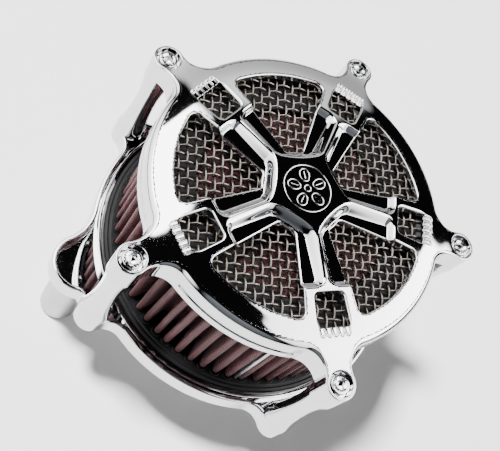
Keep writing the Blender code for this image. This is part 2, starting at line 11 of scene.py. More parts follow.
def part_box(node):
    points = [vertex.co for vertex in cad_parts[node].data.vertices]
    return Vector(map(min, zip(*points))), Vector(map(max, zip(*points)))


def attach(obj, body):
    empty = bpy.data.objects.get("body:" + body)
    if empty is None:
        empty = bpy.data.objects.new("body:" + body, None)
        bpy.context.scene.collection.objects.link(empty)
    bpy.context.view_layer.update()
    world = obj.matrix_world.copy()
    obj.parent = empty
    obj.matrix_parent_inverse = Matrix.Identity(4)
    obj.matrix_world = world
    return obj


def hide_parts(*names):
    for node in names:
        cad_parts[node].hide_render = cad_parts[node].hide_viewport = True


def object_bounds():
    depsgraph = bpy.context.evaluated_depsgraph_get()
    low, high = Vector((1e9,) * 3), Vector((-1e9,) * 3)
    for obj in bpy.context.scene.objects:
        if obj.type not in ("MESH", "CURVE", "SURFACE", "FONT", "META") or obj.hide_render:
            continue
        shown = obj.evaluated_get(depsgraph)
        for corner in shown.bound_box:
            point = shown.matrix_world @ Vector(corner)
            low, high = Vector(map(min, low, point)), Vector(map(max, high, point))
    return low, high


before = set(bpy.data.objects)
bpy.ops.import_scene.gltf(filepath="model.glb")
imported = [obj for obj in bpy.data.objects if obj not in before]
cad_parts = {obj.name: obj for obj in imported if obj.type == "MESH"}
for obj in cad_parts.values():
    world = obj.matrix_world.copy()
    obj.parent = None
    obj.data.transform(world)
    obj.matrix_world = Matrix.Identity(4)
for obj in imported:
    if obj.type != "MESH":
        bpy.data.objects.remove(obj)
CAD_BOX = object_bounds()

MM = 0.001


# Places and sizes taken from the frame, in millimetres


def box_mm(node):
    low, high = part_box(node)
    return low / MM, high / MM


def centre_mm(node):
    low, high = box_mm(node)
    return (low + high) / 2


def heights(node):
    return tuple(corner.z for corner in box_mm(node))


SCREWS = [centre_mm(f"face_screw_{k}").xy for k in range(1, 6)]
SCREW_R = SCREWS[0].length
SECTOR = 72.0
HALF_SECTOR = SECTOR / 2
EAR_ANGLES = [90.0 + SECTOR * k for k in range(5)]
PLATE_RIM_Z = 10.5
PLATE_FLOOR_Z = 5.0
SCREEN_LOW, SCREEN_HIGH = heights("face_mesh")
SCREEN_R = box_mm("face_mesh")[1].x
SLEEVES = {side: centre_mm(f"breather_sleeve_{side}").xy for side in ("left", "right")}
FLOOR_Z = CAD_BOX[0].z / MM
FLOOR_GLOW = 0.08

# Cover

DOME_TOP_Z = 80.8
DOME_DROP = 7.14  # how far the dome has fallen at the screws
EAR_TOP_Z = 72.0
EAR_SLOPE = 0.1
NECK_R = (60.0, 80.0)  # where the dome starts to fall to the ears, and where it ends
HUB_FLAT_R = 15.0
POCKET_Z = 76.3
POCKET_END_X = 42.0
RIDGE_FOOT = 4.2
EAR_BOSS_R = 7.0
EAR_FILLET_R = 10.5
BOSS_BOTTOM_Z = 56.0
FACE_R = 70.5
SKIRT_BOTTOM_Z = 60.7
SKIRT_INNER_R = 67.6
FACE_UNDERSIDE_Z = 73.9
COUNTERBORE_R = 5.6
LIP = 0.35  # rounding of the counterbore's edge
COUNTERBORE_Z = 66.0
SCREW_HOLE_R = 2.8
WINDOW_OUTER_R = 59.0
WINDOW_INNER_R = 20.0
WINDOW_APEX_X = 12.4
WINDOW_HALF_ANGLE = math.radians(29.2)
WINDOW_BEVEL = 0.75
SMALL_WINDOW_X = (46.4, 61.2)
SMALL_WINDOW_HALF_WIDTH = (6.9, 7.8)
FLUTE_END_X = 65.6
FLUTES = 5
EMBLEM_R = 11.4

WEAVE_ANGLE = 81.0
WEAVE_PITCH = 4.0
PLEATS = 62
SEAM_ANGLE = 73.5


# Mesh building

MIRROR = np.array([1.0, -1.0])


def polar(radius, degrees):
    turn = math.radians(degrees)
    return Vector((radius * math.cos(turn), radius * math.sin(turn)))


def ring_points(radius, z, count, start=0.0):
    """Points round a level circle."""
    return [(*polar(radius, start + 360.0 / count * i), z) for i in range(count)]


def polar_arc(radius, start, end, pieces):
    """Points along an arc about the middle, both ends included."""
    return np.array([tuple(polar(radius, start + (end - start) * i / pieces)) for i in range(pieces + 1)])


def beside(radius, degrees, aside):
    """A point at a radius, a distance along the arc from a direction."""
    return polar(radius, degrees + math.degrees(aside / radius))


def spin_matrix(degrees):
    """Turns rows of points about Z when they are multiplied by it."""
    c, s = math.cos(math.radians(degrees)), math.sin(math.radians(degrees))
    return np.array([[c, s, 0.0], [-s, c, 0.0], [0.0, 0.0, 1.0]])


def unit_circle(steps):
    turns = np.arange(steps) * 2 * math.pi / steps
    return np.column_stack([np.cos(turns), np.sin(turns)])


def at_height(xy, z):
    """Points in the plane lifted to one height, or each to its own."""
    return np.column_stack([xy, np.broadcast_to(z, (len(xy),))])


def grid_faces(rows, columns, closed=True, looped=False):
    """Faces between rows of points. closed joins each row's ends, looped the last row to the first."""
    faces = []
    for i in range(rows if looped else rows - 1):
        after = (i + 1) % rows
        for j in range(columns if closed else columns - 1):
            k = (j + 1) % columns
            faces.append((i * columns + j, i * columns + k, after * columns + k, after * columns + j))
    return faces


def placed(name, data):
    """An object for some data, linked to the scene."""
    obj = bpy.data.objects.new(name, data)
    bpy.context.scene.collection.objects.link(obj)
    return obj


class Shell:
    """Faces with a normal at each corner, welded into one smooth mesh at the end."""

    def __init__(self):
        self.points, self.normals, self.faces = [], [], []
        self.count = 0

    def add(self, points, normals, faces):
        points = np.asarray(points, float)
        normals = np.asarray(normals, float)
        self.points.append(points)
        self.normals.append(normals / np.maximum(np.linalg.norm(normals, axis=1, keepdims=True), 1e-12))
        self.faces += [tuple(int(i) + self.count for i in face) for face in faces]
        self.count += len(points)

    def grid(self, rows):
        """A smooth sheet through closed rows of points."""
        rows = np.asarray(rows, float)
        along = np.roll(rows, -1, axis=1) - np.roll(rows, 1, axis=1)
        across = np.gradient(rows, axis=0, edge_order=2 if len(rows) > 2 else 1)
        normals = np.cross(along, across)
        self.add(rows.reshape(-1, 3), normals.reshape(-1, 3), grid_faces(*rows.shape[:2]))

    def facets(self, rows):
        """A band between each row and the next, with a hard edge at every row."""
        for pair in zip(rows, rows[1:]):
            self.grid(pair)

    def level(self, xy, z, way, faces):
        """A flat sheet at one height that faces up, way 1, or down, way -1."""
        self.add(at_height(xy, z), np.tile([0.0, 0.0, way], (len(xy), 1)), faces)

    def turned(self, angles):
        """Replaces everything so far with a copy at each angle, in degrees, about Z."""
        points, normals, faces, total = self.points, self.normals, self.faces, self.count
        self.points, self.normals, self.faces = [], [], []
        for turn, angle in enumerate(angles):
            spin = spin_matrix(angle)
            self.points += [p @ spin for p in points]
            self.normals += [n @ spin for n in normals]
            self.faces += [tuple(i + turn * total for i in face) for face in faces]
        self.count = total * len(angles)

    def build(self, name, weld=4):
        points = np.concatenate(self.points)
        normals = np.concatenate(self.normals)
        vertices, index = np.unique(np.round(points, weld), axis=0, return_inverse=True)
        index = index.reshape(-1)
        faces, corners = [], []
        seen = set()
        for face in self.faces:
            ring = [int(index[i]) for i in face]
            kept = [k for k in range(len(ring)) if ring[k] != ring[k - 1]]
            if len(kept) < 3:
                continue
            ring = [ring[k] for k in kept]
            if len(set(ring)) < len(ring):
                continue
            corner = [face[k] for k in kept]
            p = vertices[ring]
            flat = np.cross(p[1] - p[0], p[2] - p[0])
            if len(p) == 4:
                flat = flat + np.cross(p[2] - p[0], p[3] - p[0])
            if flat @ normals[corner].sum(0) < 0:
                ring.reverse()
                corner.reverse()
            key = tuple(sorted(ring))
            if key in seen:
                continue
            seen.add(key)
            faces.append(ring)
            corners += corner
        mesh = bpy.data.meshes.new(name)
        mesh.from_pydata((vertices * MM).tolist(), [], faces)
        mesh.shade_smooth()
        mesh.normals_split_custom_set(normals[corners].tolist())
        return placed(name, mesh)


def inside(points, loop):
    """Which points lie inside a closed loop."""
    x, y = points[:, 0], points[:, 1]
    loop = np.asarray(loop, float)
    result = np.zeros(len(points), bool)
    for (ax, ay), (bx, by) in zip(loop, np.roll(loop, -1, axis=0)):
        if ay == by:
            continue
        crosses = (ay > y) != (by > y)
        result ^= crosses & (x < (bx - ax) * (y - ay) / (by - ay) + ax)
    return result


def distance_to(points, loop):
    """How far points are from a closed loop."""
    best = np.full(len(points), np.inf)
    for a, b in zip(loop, np.roll(loop, -1, axis=0)):
        step = b - a
        size = step @ step
        if size < 1e-12:
            continue
        t = np.clip(((points - a) @ step) / size, 0, 1)
        best = np.minimum(best, np.linalg.norm(points - (a + t[:, None] * step), axis=1))
    return best


def triangulated(outline, holes, lattice, clearance):
    """Points and triangles that fill an outline around holes, with the lattice's points inside."""
    loops = [np.asarray(loop, float) for loop in [outline, *holes]]
    keep = inside(lattice, loops[0])
    for hole in loops[1:]:
        keep &= ~inside(lattice, hole)
    lattice = lattice[keep]
    for loop in loops:
        near = distance_to(lattice, loop)
        lattice = lattice[near > clearance]
    points = [Vector(p) for loop in loops for p in loop]
    edges = []
    start = 0
    for loop in loops:
        n = len(loop)
        edges += [(start + i, start + (i + 1) % n) for i in range(n)]
        start += n
    points += [Vector(p) for p in lattice]
    verts, _, faces, *_ = delaunay_2d_cdt(points, edges, [], 0, 1e-5)
    verts = np.array([tuple(v) for v in verts])
    faces = np.array([f for f in faces if len(f) == 3])
    middle = verts[faces].mean(1)
    keep = inside(middle, loops[0])
    for hole in loops[1:]:
        keep &= ~inside(middle, hole)
    return verts, faces[keep]


def smooth_step(low, high, value):
    t = np.clip((value - low) / (high - low), 0, 1)
    return t * t * (3 - 2 * t)


def smooth_max(a, b, k):
    h = np.clip(0.5 + 0.5 * (a - b) / k, 0, 1)
    return b + (a - b) * h + k * h * (1 - h)


def gradient_normals(height, xy, step=0.02):
    dx = np.array([step, 0.0])
    dy = np.array([0.0, step])
    gx = (height(xy + dx) - height(xy - dx)) / (2 * step)
    gy = (height(xy + dy) - height(xy - dy)) / (2 * step)
    return np.stack([-gx, -gy, np.ones(len(xy))], 1)


# Outlines. Each is a list of samples (point, outward normal).


def heading(origin, target):
    return math.atan2(target.y - origin.y, target.x - origin.x)


def fillet_centre(first, second, fillet):
    across = second[0] - first[0]
    near, far = first[1] + fillet, second[1] + fillet
    along = (near**2 - far**2 + across.length**2) / (2 * across.length)
    aside = math.sqrt(near**2 - along**2)
    unit = across.normalized()
    return first[0] + unit * along + Vector((unit.y, -unit.x)) * aside


def arc(centre, radius, start, end, pieces, sign=1, last=False):
    """Samples along an arc, without its end unless last is set. sign -1 turns the normals to the centre."""
    samples = []
    for i in range(pieces + last):
        turn = start + (end - start) * i / pieces
        way = Vector((math.cos(turn), math.sin(turn)))
        samples.append((centre + way * radius, way * sign))
    return samples


def stepped_arc(centre, radius, start, end, step, sign):
    """An arc in steps of about one length, finer on tight corners."""
    step = min(step, radius * 0.12)
    return arc(centre, radius, start, end, max(4, round(abs(end - start) * radius / step)), sign)


def columns(samples):
    """The parts of a list of samples, each as one array."""
    return [np.array([tuple(v) for v in part]) for part in zip(*samples)]


def lobed_outline(circles, fillets, step=1.2):
    following = circles[1:] + circles[:1]
    centres = [fillet_centre(*pair, fillet) for *pair, fillet in zip(circles, following, fillets)]
    samples = []
    for i, (centre, radius) in enumerate(circles):
        start = heading(centre, centres[i - 1])
        end = heading(centre, centres[i])
        while end < start:
            end += 2 * math.pi
        samples += stepped_arc(centre, radius, start, end, step, 1)
        start = heading(centres[i], centre)
        end = heading(centres[i], following[i][0])
        while end > start:
            end -= 2 * math.pi
        samples += stepped_arc(centres[i], fillets[i], start, end, step, -1)
    return samples


def rows_along(samples, profile):
    """Sweeps (outward offset, height) pairs along an outline."""
    base, normal = columns(samples)
    return [at_height(base + normal * out, z) for out, z in profile]


# Cover: heights are in sector coordinates, with X along one spoke and its ear


def dome_height(r):
    """A flat hub, the dome, and the necks' easy fall to the ears."""
    dome = DOME_TOP_Z - DOME_DROP * (smooth_max(r, HUB_FLAT_R, 2.0) / SCREW_R) ** 2
    start, end = NECK_R
    low = EAR_TOP_Z + EAR_SLOPE * (SCREW_R - end)
    high = DOME_TOP_Z - DOME_DROP * (start / SCREW_R) ** 2
    leaving = -2 * DOME_DROP * start / SCREW_R**2
    t = np.clip((r - start) / (end - start), 0, 1)
    neck = (2 * t**3 - 3 * t**2 + 1) * high + (t**3 - 2 * t**2 + t) * (end - start) * leaving
    neck = neck + (3 * t**2 - 2 * t**3) * low - (t**3 - t**2) * (end - start) * EAR_SLOPE
    ear = low - EAR_SLOPE * (r - end)
    return np.where(r < start, dome, np.where(r < end, neck, ear))


def pocket_rise(x, y, r, turn):
    """0 on the floor of the pockets beside a spoke, rising round their edges to 1 on the dome."""
    corner, fullness = 2.4, 0.75
    hub_r = 19.3 + 0.9 * np.cos(5 * turn)
    inner = 1.1 * (hub_r - r)
    outer = 1.4 * (x - POCKET_END_X)
    ends = np.maximum(inner, outer) + corner
    side = RIDGE_FOOT + corner - np.sqrt(y**2 + 0.01)
    outside = np.hypot(np.maximum(ends, 0), np.maximum(side, 0))
    reach = outside + np.minimum(np.maximum(ends, side), 0) - corner
    return smooth_step(0.0, 1.0, np.clip(reach / RIDGE_FOOT, 0, 1) ** fullness)


def flute_height(x, y, dome):
    """Ball-ended grooves that run down into the small window."""
    radius, lift, slope = 1.5, 0.35, 0.3
    pitch = 2 * radius
    half = FLUTES * radius
    v = np.clip(y, -half + 0.01, half - 0.01) + half
    v = np.mod(v, pitch) - radius
    end = FLUTE_END_X - radius
    reach = np.where(x > end, np.hypot(x - end, v), np.abs(v))
    axis = dome + lift - slope * np.maximum(end - x, 0)
    bottom = axis - np.sqrt(np.maximum(radius**2 - reach**2, 0))
    cut = (reach < radius) & (np.abs(y) < half) & (x > SMALL_WINDOW_X[1] - 1)
    return np.where(cut, np.minimum(dome, bottom), dome)


def face_height(points):
    x, y = points[:, 0], points[:, 1]
    r = np.hypot(x, y)
    turn = np.arctan2(y, x)
    dome = dome_height(r)
    floor = np.minimum(POCKET_Z, dome - 2.0)
    z = floor + (dome - floor) * pocket_rise(x, y, r, turn)
    return flute_height(x, y, z)


def face_samples():
    """The face's outline across one sector: points, outward normals, edge rounding and groove depth."""
    origin, ear = Vector((0.0, 0.0)), Vector((SCREW_R, 0.0))
    rim_r = FACE_R - 0.05
    wide, narrow = 2.5, 0.6
    groove_end, groove_full = 9.5, 13.0
    rim_pieces, fillet_pieces, ear_pieces = 26, 22, 48
    low = fillet_centre((origin, rim_r), (ear, EAR_BOSS_R), EAR_FILLET_R)
    samples = []

    def put(centre, radius, begin, end, pieces, sign, width, groove=lambda turn: 0.0):
        for i in range(pieces):
            t = i / pieces
            turn = begin + (end - begin) * t
            way = np.array([math.cos(turn), math.sin(turn)])
            samples.append((np.array(centre) + way * radius, way * sign, width(t), groove(turn)))

    def fade(turn):
        return float(smooth_step(groove_end, groove_full, abs(math.degrees(turn))))

    put(origin, rim_r, -math.radians(HALF_SECTOR), heading(origin, low), rim_pieces, 1, lambda t: wide, fade)
    a, b = heading(low, origin), heading(low, ear)
    while b > a:
        b -= 2 * math.pi
    put(low, EAR_FILLET_R, a, b, fillet_pieces, -1, lambda t: wide + (narrow - wide) * smooth_step(0, 1, t))
    a = heading(ear, low)
    put(ear, EAR_BOSS_R, a, -a, ear_pieces, 1, lambda t: narrow)
    way = np.array([math.cos(-a), math.sin(-a)])
    samples.append((np.array(ear) + way * EAR_BOSS_R, way, narrow, 0.0))
    for p, n, width, groove in reversed(samples[: rim_pieces + fillet_pieces]):
        samples.append((p * MIRROR, n * MIRROR, width, groove))
    return [np.array(part) for part in zip(*samples)]


def window_half():
    """Half of the large window, seen from the spoke at 0 degrees, from outside inwards."""
    along = Vector((math.cos(WINDOW_HALF_ANGLE), math.sin(WINDOW_HALF_ANGLE)))
    inward = Vector((along.y, -along.x))
    apex, origin = Vector((WINDOW_APEX_X, 0.0)), Vector((0.0, 0.0))
    outer_corner, inner_corner = 3.5, 2.0

    def corner_centre(corner, reach):
        start = apex + inward * corner
        lean = start.dot(along)
        return start + along * (math.sqrt(lean**2 - start.length_squared + reach**2) - lean)

    outer = corner_centre(outer_corner, WINDOW_OUTER_R - outer_corner)
    inner = corner_centre(inner_corner, WINDOW_INNER_R + inner_corner)
    side = math.atan2(-inward.y, -inward.x)
    outer_turn, inner_turn = heading(origin, outer), heading(origin, inner)
    samples = arc(origin, WINDOW_OUTER_R, 0.0, outer_turn, 30)
    samples += arc(outer, outer_corner, outer_turn, side, 12, last=True)
    first, last = samples[-1][0], inner - inward * inner_corner
    side_pieces = 46
    samples += [(first.lerp(last, i / side_pieces), -inward) for i in range(1, side_pieces)]
    samples += arc(inner, inner_corner, side, inner_turn + math.pi, 10)
    samples += arc(origin, WINDOW_INNER_R, inner_turn, 0.0, 10, -1, last=True)
    return [part * MIRROR @ spin_matrix(HALF_SECTOR)[:2, :2] for part in columns(samples)]


def small_window():
    """The small window's outline about +X: points, normals and bevel widths."""
    (x0, x1), (h0, h1) = SMALL_WINDOW_X, SMALL_WINDOW_HALF_WIDTH
    spacing = 0.7
    corners = [Vector(corner) for corner in ((x0, -h0), (x1, -h1), (x1, h1), (x0, h0))]
    turns = []
    for i, (corner, radius) in enumerate(zip(corners, (2.5, 0.6, 0.6, 2.5))):
        before = (corners[i - 1] - corner).normalized()
        after = (corners[(i + 1) % 4] - corner).normalized()
        half = before.angle(after) / 2
        centre = corner + (before + after).normalized() * (radius / math.sin(half))
        start = heading(centre, corner + before * (radius / math.tan(half)))
        turns += arc(centre, radius, start, start + math.pi - 2 * half, 10, last=True)
    samples = []
    for (p, p_way), (q, q_way) in zip(turns, turns[1:] + turns[:1]):
        pieces = max(1, round((q - p).length / spacing))
        shares = [k / pieces for k in range(pieces)]
        samples += [(p.lerp(q, t), p_way.lerp(q_way, t).normalized()) for t in shares]
    points, normals = columns(samples)
    return points, normals, 1.0 - 0.75 * smooth_step(x1 - 3.0, x1 - 0.5, points[:, 0])


def lattice(x_range, y_range, pitch):
    xs = np.arange(x_range[0], x_range[1], pitch)
    ys = np.arange(y_range[0], y_range[1], pitch)
    grid = np.stack(np.meshgrid(xs, ys, indexing="ij"), -1)
    grid[::2, :, 1] += pitch / 2
    return grid.reshape(-1, 2)


def seam_points(low, high, pitch):
    """Points along the line between two sectors."""
    pieces = max(1, round(abs(high - low) / pitch))
    return np.array([tuple(polar(low + (high - low) * i / pieces, HALF_SECTOR)) for i in range(pieces + 1)])


def sector_lattice(fine, medium, coarse):
    """Points for one sector, dense on the spoke and densest on the flutes."""
    spoke_end, half_spoke, half_flutes, margin = 47.4, 15.0, 8.4, 0.2
    flutes_start, flutes_end = SMALL_WINDOW_X[1], FLUTE_END_X + 0.8
    spoke = lattice((EMBLEM_R + 0.3, spoke_end), (-half_spoke, half_spoke), medium)
    flutes = lattice((flutes_start + 0.1, flutes_end), (-half_flutes, half_flutes), fine)
    rest = lattice((12.0, 92.0), (-52.0, 52.0), coarse)
    x, y = rest[:, 0], np.abs(rest[:, 1])
    in_spoke = (x < spoke_end + margin) & (y < half_spoke)
    in_flutes = (y < half_flutes + margin) & (x > flutes_start) & (x < flutes_end + margin)
    grid = np.concatenate([spoke, flutes, rest[~in_spoke & ~in_flutes]])
    return grid[np.abs(np.degrees(np.arctan2(grid[:, 1], grid[:, 0]))) < HALF_SECTOR - 0.6]


def quarter(steps):
    return [math.pi / 2 * i / steps for i in range(steps + 1)]


def sector_loop(outer, window, inner_r, pitch):
    """The outline of one sector: its outer edge, half a window on each side and the hub's edge."""
    up = seam_points(np.linalg.norm(outer[-1]), np.linalg.norm(window[0]), pitch)
    down = seam_points(np.linalg.norm(window[-1]), inner_r, pitch)
    upper = np.concatenate([up[1:-1], window, down[1:]])
    lower = (upper * MIRROR)[::-1]
    if inner_r == 0:
        return np.concatenate([outer, upper, lower[1:]])
    hub = polar_arc(inner_r, HALF_SECTOR, -HALF_SECTOR, 24)[1:-1]
    return np.concatenate([outer, upper, hub, lower])


def bevel_rows(points, normals, bevel, low, follow):
    """Rows of a rounded window edge, and of the wall under it. follow 1 lets the edge fall with the dome."""
    reach = np.reshape(bevel, (-1, 1))
    crest = face_height(points + normals * reach)
    drop = np.minimum(bevel, crest - low - 0.05)
    fall = follow * (crest - face_height(points))
    rows = []
    for t in quarter(5):
        xy = points + normals * reach * (1 - math.sin(t))
        lead = crest + follow * (face_height(xy) - crest)
        rows.append(at_height(xy, lead - (drop - fall) * (1 - math.cos(t))))
    return rows, [rows[-1], at_height(points, low)]


def screw_seat(shell, at):
    """Counterbore with a small lip, the screw's hole, and the boss under the ear."""
    circle = unit_circle(48)
    chamfer, boss_chamfer = 0.3, 0.4
    boss, boss_top = EAR_BOSS_R - 0.06, SKIRT_BOTTOM_Z + 0.6

    def ring_rows(profile):
        """Rings of (radius, z), where a z up to 0 is measured from the face above."""
        rows = []
        for radius, z in profile:
            xy = at + circle * radius
            rows.append(at_height(xy, face_height(xy) + z if z <= 0 else z))
        return rows

    lip = [(COUNTERBORE_R + LIP * (1 - math.sin(t)), -LIP * (1 - math.cos(t))) for t in quarter(4)]
    shell.grid(ring_rows(lip))
    bore = [lip[-1], (COUNTERBORE_R, COUNTERBORE_Z + chamfer), (COUNTERBORE_R - chamfer, COUNTERBORE_Z)]
    bore += [(SCREW_HOLE_R, COUNTERBORE_Z), (SCREW_HOLE_R, SKIRT_BOTTOM_Z)]
    shell.facets(ring_rows(bore))
    stub = [(boss, boss_top), (boss, 59.0), (boss, BOSS_BOTTOM_Z + boss_chamfer)]
    stub += [(boss - boss_chamfer, BOSS_BOTTOM_Z), (SCREW_HOLE_R, BOSS_BOTTOM_Z), (SCREW_HOLE_R, boss_top)]
    shell.facets(ring_rows(stub))


def edge_rows(base, normal, width, groove, foot):
    """Rows down the cover's outer edge: its rounding, the skirt with its groove, and the rounded foot."""
    middle, half_height, depth, zone = 66.2, 1.1, 0.75, 1.6
    shoulder = face_height(base - normal * width[:, None]) - 1.1 * width
    drop = face_height(base) - shoulder
    rows = []
    for t in quarter(8):
        xy = base - normal * (width * (1 - math.sin(t)))[:, None]
        rows.append(at_height(xy, face_height(xy) - drop * (1 - math.cos(t))))
    for share in (0.35, 0.7):
        rows.append(at_height(base, shoulder + (middle + zone - shoulder) * share))
    for i in range(17):
        z = middle + zone - 2 * zone * i / 16
        deep = depth * max(0.0, 1 - ((z - middle) / half_height) ** 2) ** 0.7
        rows.append(at_height(base - normal * (deep * groove)[:, None], z))
    rows += [at_height(base, z) for z in (63.4, 62.2, SKIRT_BOTTOM_Z + foot)]
    for t in quarter(4)[1:]:
        xy = base - normal * foot * (1 - math.cos(t))
        rows.append(at_height(xy, SKIRT_BOTTOM_Z + foot * (1 - math.sin(t))))
    return rows


def face_plate():
    shell = Shell()
    base, normal, width, groove = face_samples()
    window, window_normal = window_half()
    small, small_normal, small_bevel = small_window()
    at = np.array([SCREW_R, 0.0])
    foot = 0.5

    # The domed face of one sector
    crest = base - normal * width[:, None]
    outline = sector_loop(crest, window + window_normal * WINDOW_BEVEL, EMBLEM_R, 0.8)
    holes = [small + small_normal * small_bevel[:, None], at + unit_circle(48) * (COUNTERBORE_R + LIP)]
    xy, faces = triangulated(outline, holes, sector_lattice(0.26, 0.5, 1.0), 0.2)
    shell.add(at_height(xy, face_height(xy)), gradient_normals(face_height, xy), faces)

    # The underside of the disc, then of the skirt and ears
    inner_edge = SKIRT_INNER_R - 0.7
    coarse = lattice((1.0, 92.0), (-52.0, 52.0), 4.0)
    coarse = coarse[np.abs(np.degrees(np.arctan2(coarse[:, 1], coarse[:, 0]))) < HALF_SECTOR - 2.0]
    disc = sector_loop(polar_arc(inner_edge, -HALF_SECTOR, HALF_SECTOR, 36), window, 0, 2.0)
    xy, faces = triangulated(disc, [small], coarse, 1.0)
    shell.level(xy, FACE_UNDERSIDE_Z, -1.0, faces)
    skirt = np.concatenate([base - normal * foot, polar_arc(SKIRT_INNER_R, HALF_SECTOR, -HALF_SECTOR, 36)])
    xy, faces = triangulated(skirt, [at + unit_circle(48) * SCREW_HOLE_R], coarse, 1.0)
    shell.level(xy, SKIRT_BOTTOM_Z, -1.0, faces)

    screw_seat(shell, at)
    for rows in bevel_rows(small, small_normal, small_bevel, FACE_UNDERSIDE_Z, 0.0):
        shell.grid(rows)
    shell.turned(EAR_ANGLES)

    # Large windows, each a closed loop over two sectors
    across = np.array([1.0, -1.0, 1.0])
    for rows in bevel_rows(window, window_normal, np.full(len(window), WINDOW_BEVEL), FACE_UNDERSIDE_Z, 1.0):
        halves = [row @ spin_matrix(-HALF_SECTOR) for row in rows]
        whole = [np.concatenate([half, (half * across)[::-1][1:-1]]) for half in halves]
        for angle in EAR_ANGLES:
            shell.grid([row @ spin_matrix(angle + HALF_SECTOR) for row in whole])

    rows = edge_rows(base, normal, width, groove, foot)
    shell.grid([np.concatenate([row[:-1] @ spin_matrix(angle) for angle in EAR_ANGLES]) for row in rows])
    start = EAR_ANGLES[0] - HALF_SECTOR
    inner = [(SKIRT_INNER_R, SKIRT_BOTTOM_Z), (SKIRT_INNER_R, FACE_UNDERSIDE_Z - 2.0)]
    inner.append((inner_edge, FACE_UNDERSIDE_Z))
    shell.grid([ring_points(r, z, 180, start) for r, z in inner])
    hub = (0.01, 2.0, 4.0, 6.0, 8.0, 10.0, EMBLEM_R)
    shell.grid([ring_points(r, float(dome_height(r)), 120, start) for r in hub])
    return shell.build("face_plate_chrome", weld=3)


# Turned shapes


def lathe(shell, profile, at=(0.0, 0.0), steps=128, crease=35.0):
    """Turns a profile of (radius, height) about an upright axis, with hard edges where it bends sharply."""
    profile = [np.array(p, float) for p in profile]
    runs, run = [], [profile[0]]
    for i in range(1, len(profile)):
        run.append(profile[i])
        if i + 1 < len(profile):
            a, b = profile[i] - profile[i - 1], profile[i + 1] - profile[i]
            cosine = (a @ b) / max(np.linalg.norm(a) * np.linalg.norm(b), 1e-9)
            if cosine < math.cos(math.radians(crease)):
                runs.append(run)
                run = [profile[i]]
    runs.append(run)
    circle = unit_circle(steps)
    for run in runs:
        shell.grid([at_height(np.array(at) + circle * max(r, 1e-4), z) for r, z in run])


def rounded(profile, radius, steps=4):
    """A profile with its inner corners rounded. radius is one number, or one for each corner."""
    profile = [np.array(p, float) for p in profile]
    result = [profile[0]]
    for i in range(1, len(profile) - 1):
        size = radius if np.ndim(radius) == 0 else radius[i - 1]
        a, b = profile[i - 1] - profile[i], profile[i + 1] - profile[i]
        la, lb = np.linalg.norm(a), np.linalg.norm(b)
        reach = min(size, la * 0.49, lb * 0.49)
        start, end = profile[i] + a / la * reach, profile[i] + b / lb * reach
        for k in range(steps + 1):
            t = k / steps
            result.append((1 - t) ** 2 * start + 2 * t * (1 - t) * profile[i] + t**2 * end)
    result.append(profile[-1])
    return result


def turned(name, profile, at=(0.0, 0.0), steps=128):
    shell = Shell()
    lathe(shell, profile, at, steps)
    return shell.build(name)


# Back plate and posts

PLATE_R = 77.5
POST_LOBE_R = 7.48
POST_FILLET_R = 9.0
BREATHER_LOBE_R = 14.0
BREATHER_FILLET_R = 22.0
NOTCH_FILLET_R = 2.5
INTAKE_BORE_R = 27.0
SOCKET_R = 6.3
POST_TOP_Z = 55.7


def plate_samples():
    origin = Vector((0.0, 0.0))
    lobes = {angle % 360: (polar(SCREW_R, angle), POST_LOBE_R) for angle in EAR_ANGLES}
    breathers = {}
    for at in SLEEVES.values():
        breathers[math.degrees(math.atan2(at.y, at.x)) % 360] = (at.copy(), BREATHER_LOBE_R)
    order = sorted({**lobes, **breathers}.items())
    circles, fillets = [], []
    for i, (angle, circle) in enumerate(order):
        following = order[(i + 1) % len(order)][0]
        circles.append(circle)
        if (following - angle) % 360 < 20:
            fillets.append(NOTCH_FILLET_R)
            continue
        fillets.append(BREATHER_FILLET_R if angle in breathers else POST_FILLET_R)
        circles.append((origin, PLATE_R))
        fillets.append(BREATHER_FILLET_R if following in breathers else POST_FILLET_R)
    return lobed_outline(circles, fillets)


def plate_inset(samples, inset):
    return np.array([tuple(p - n * inset) for p, n in samples])


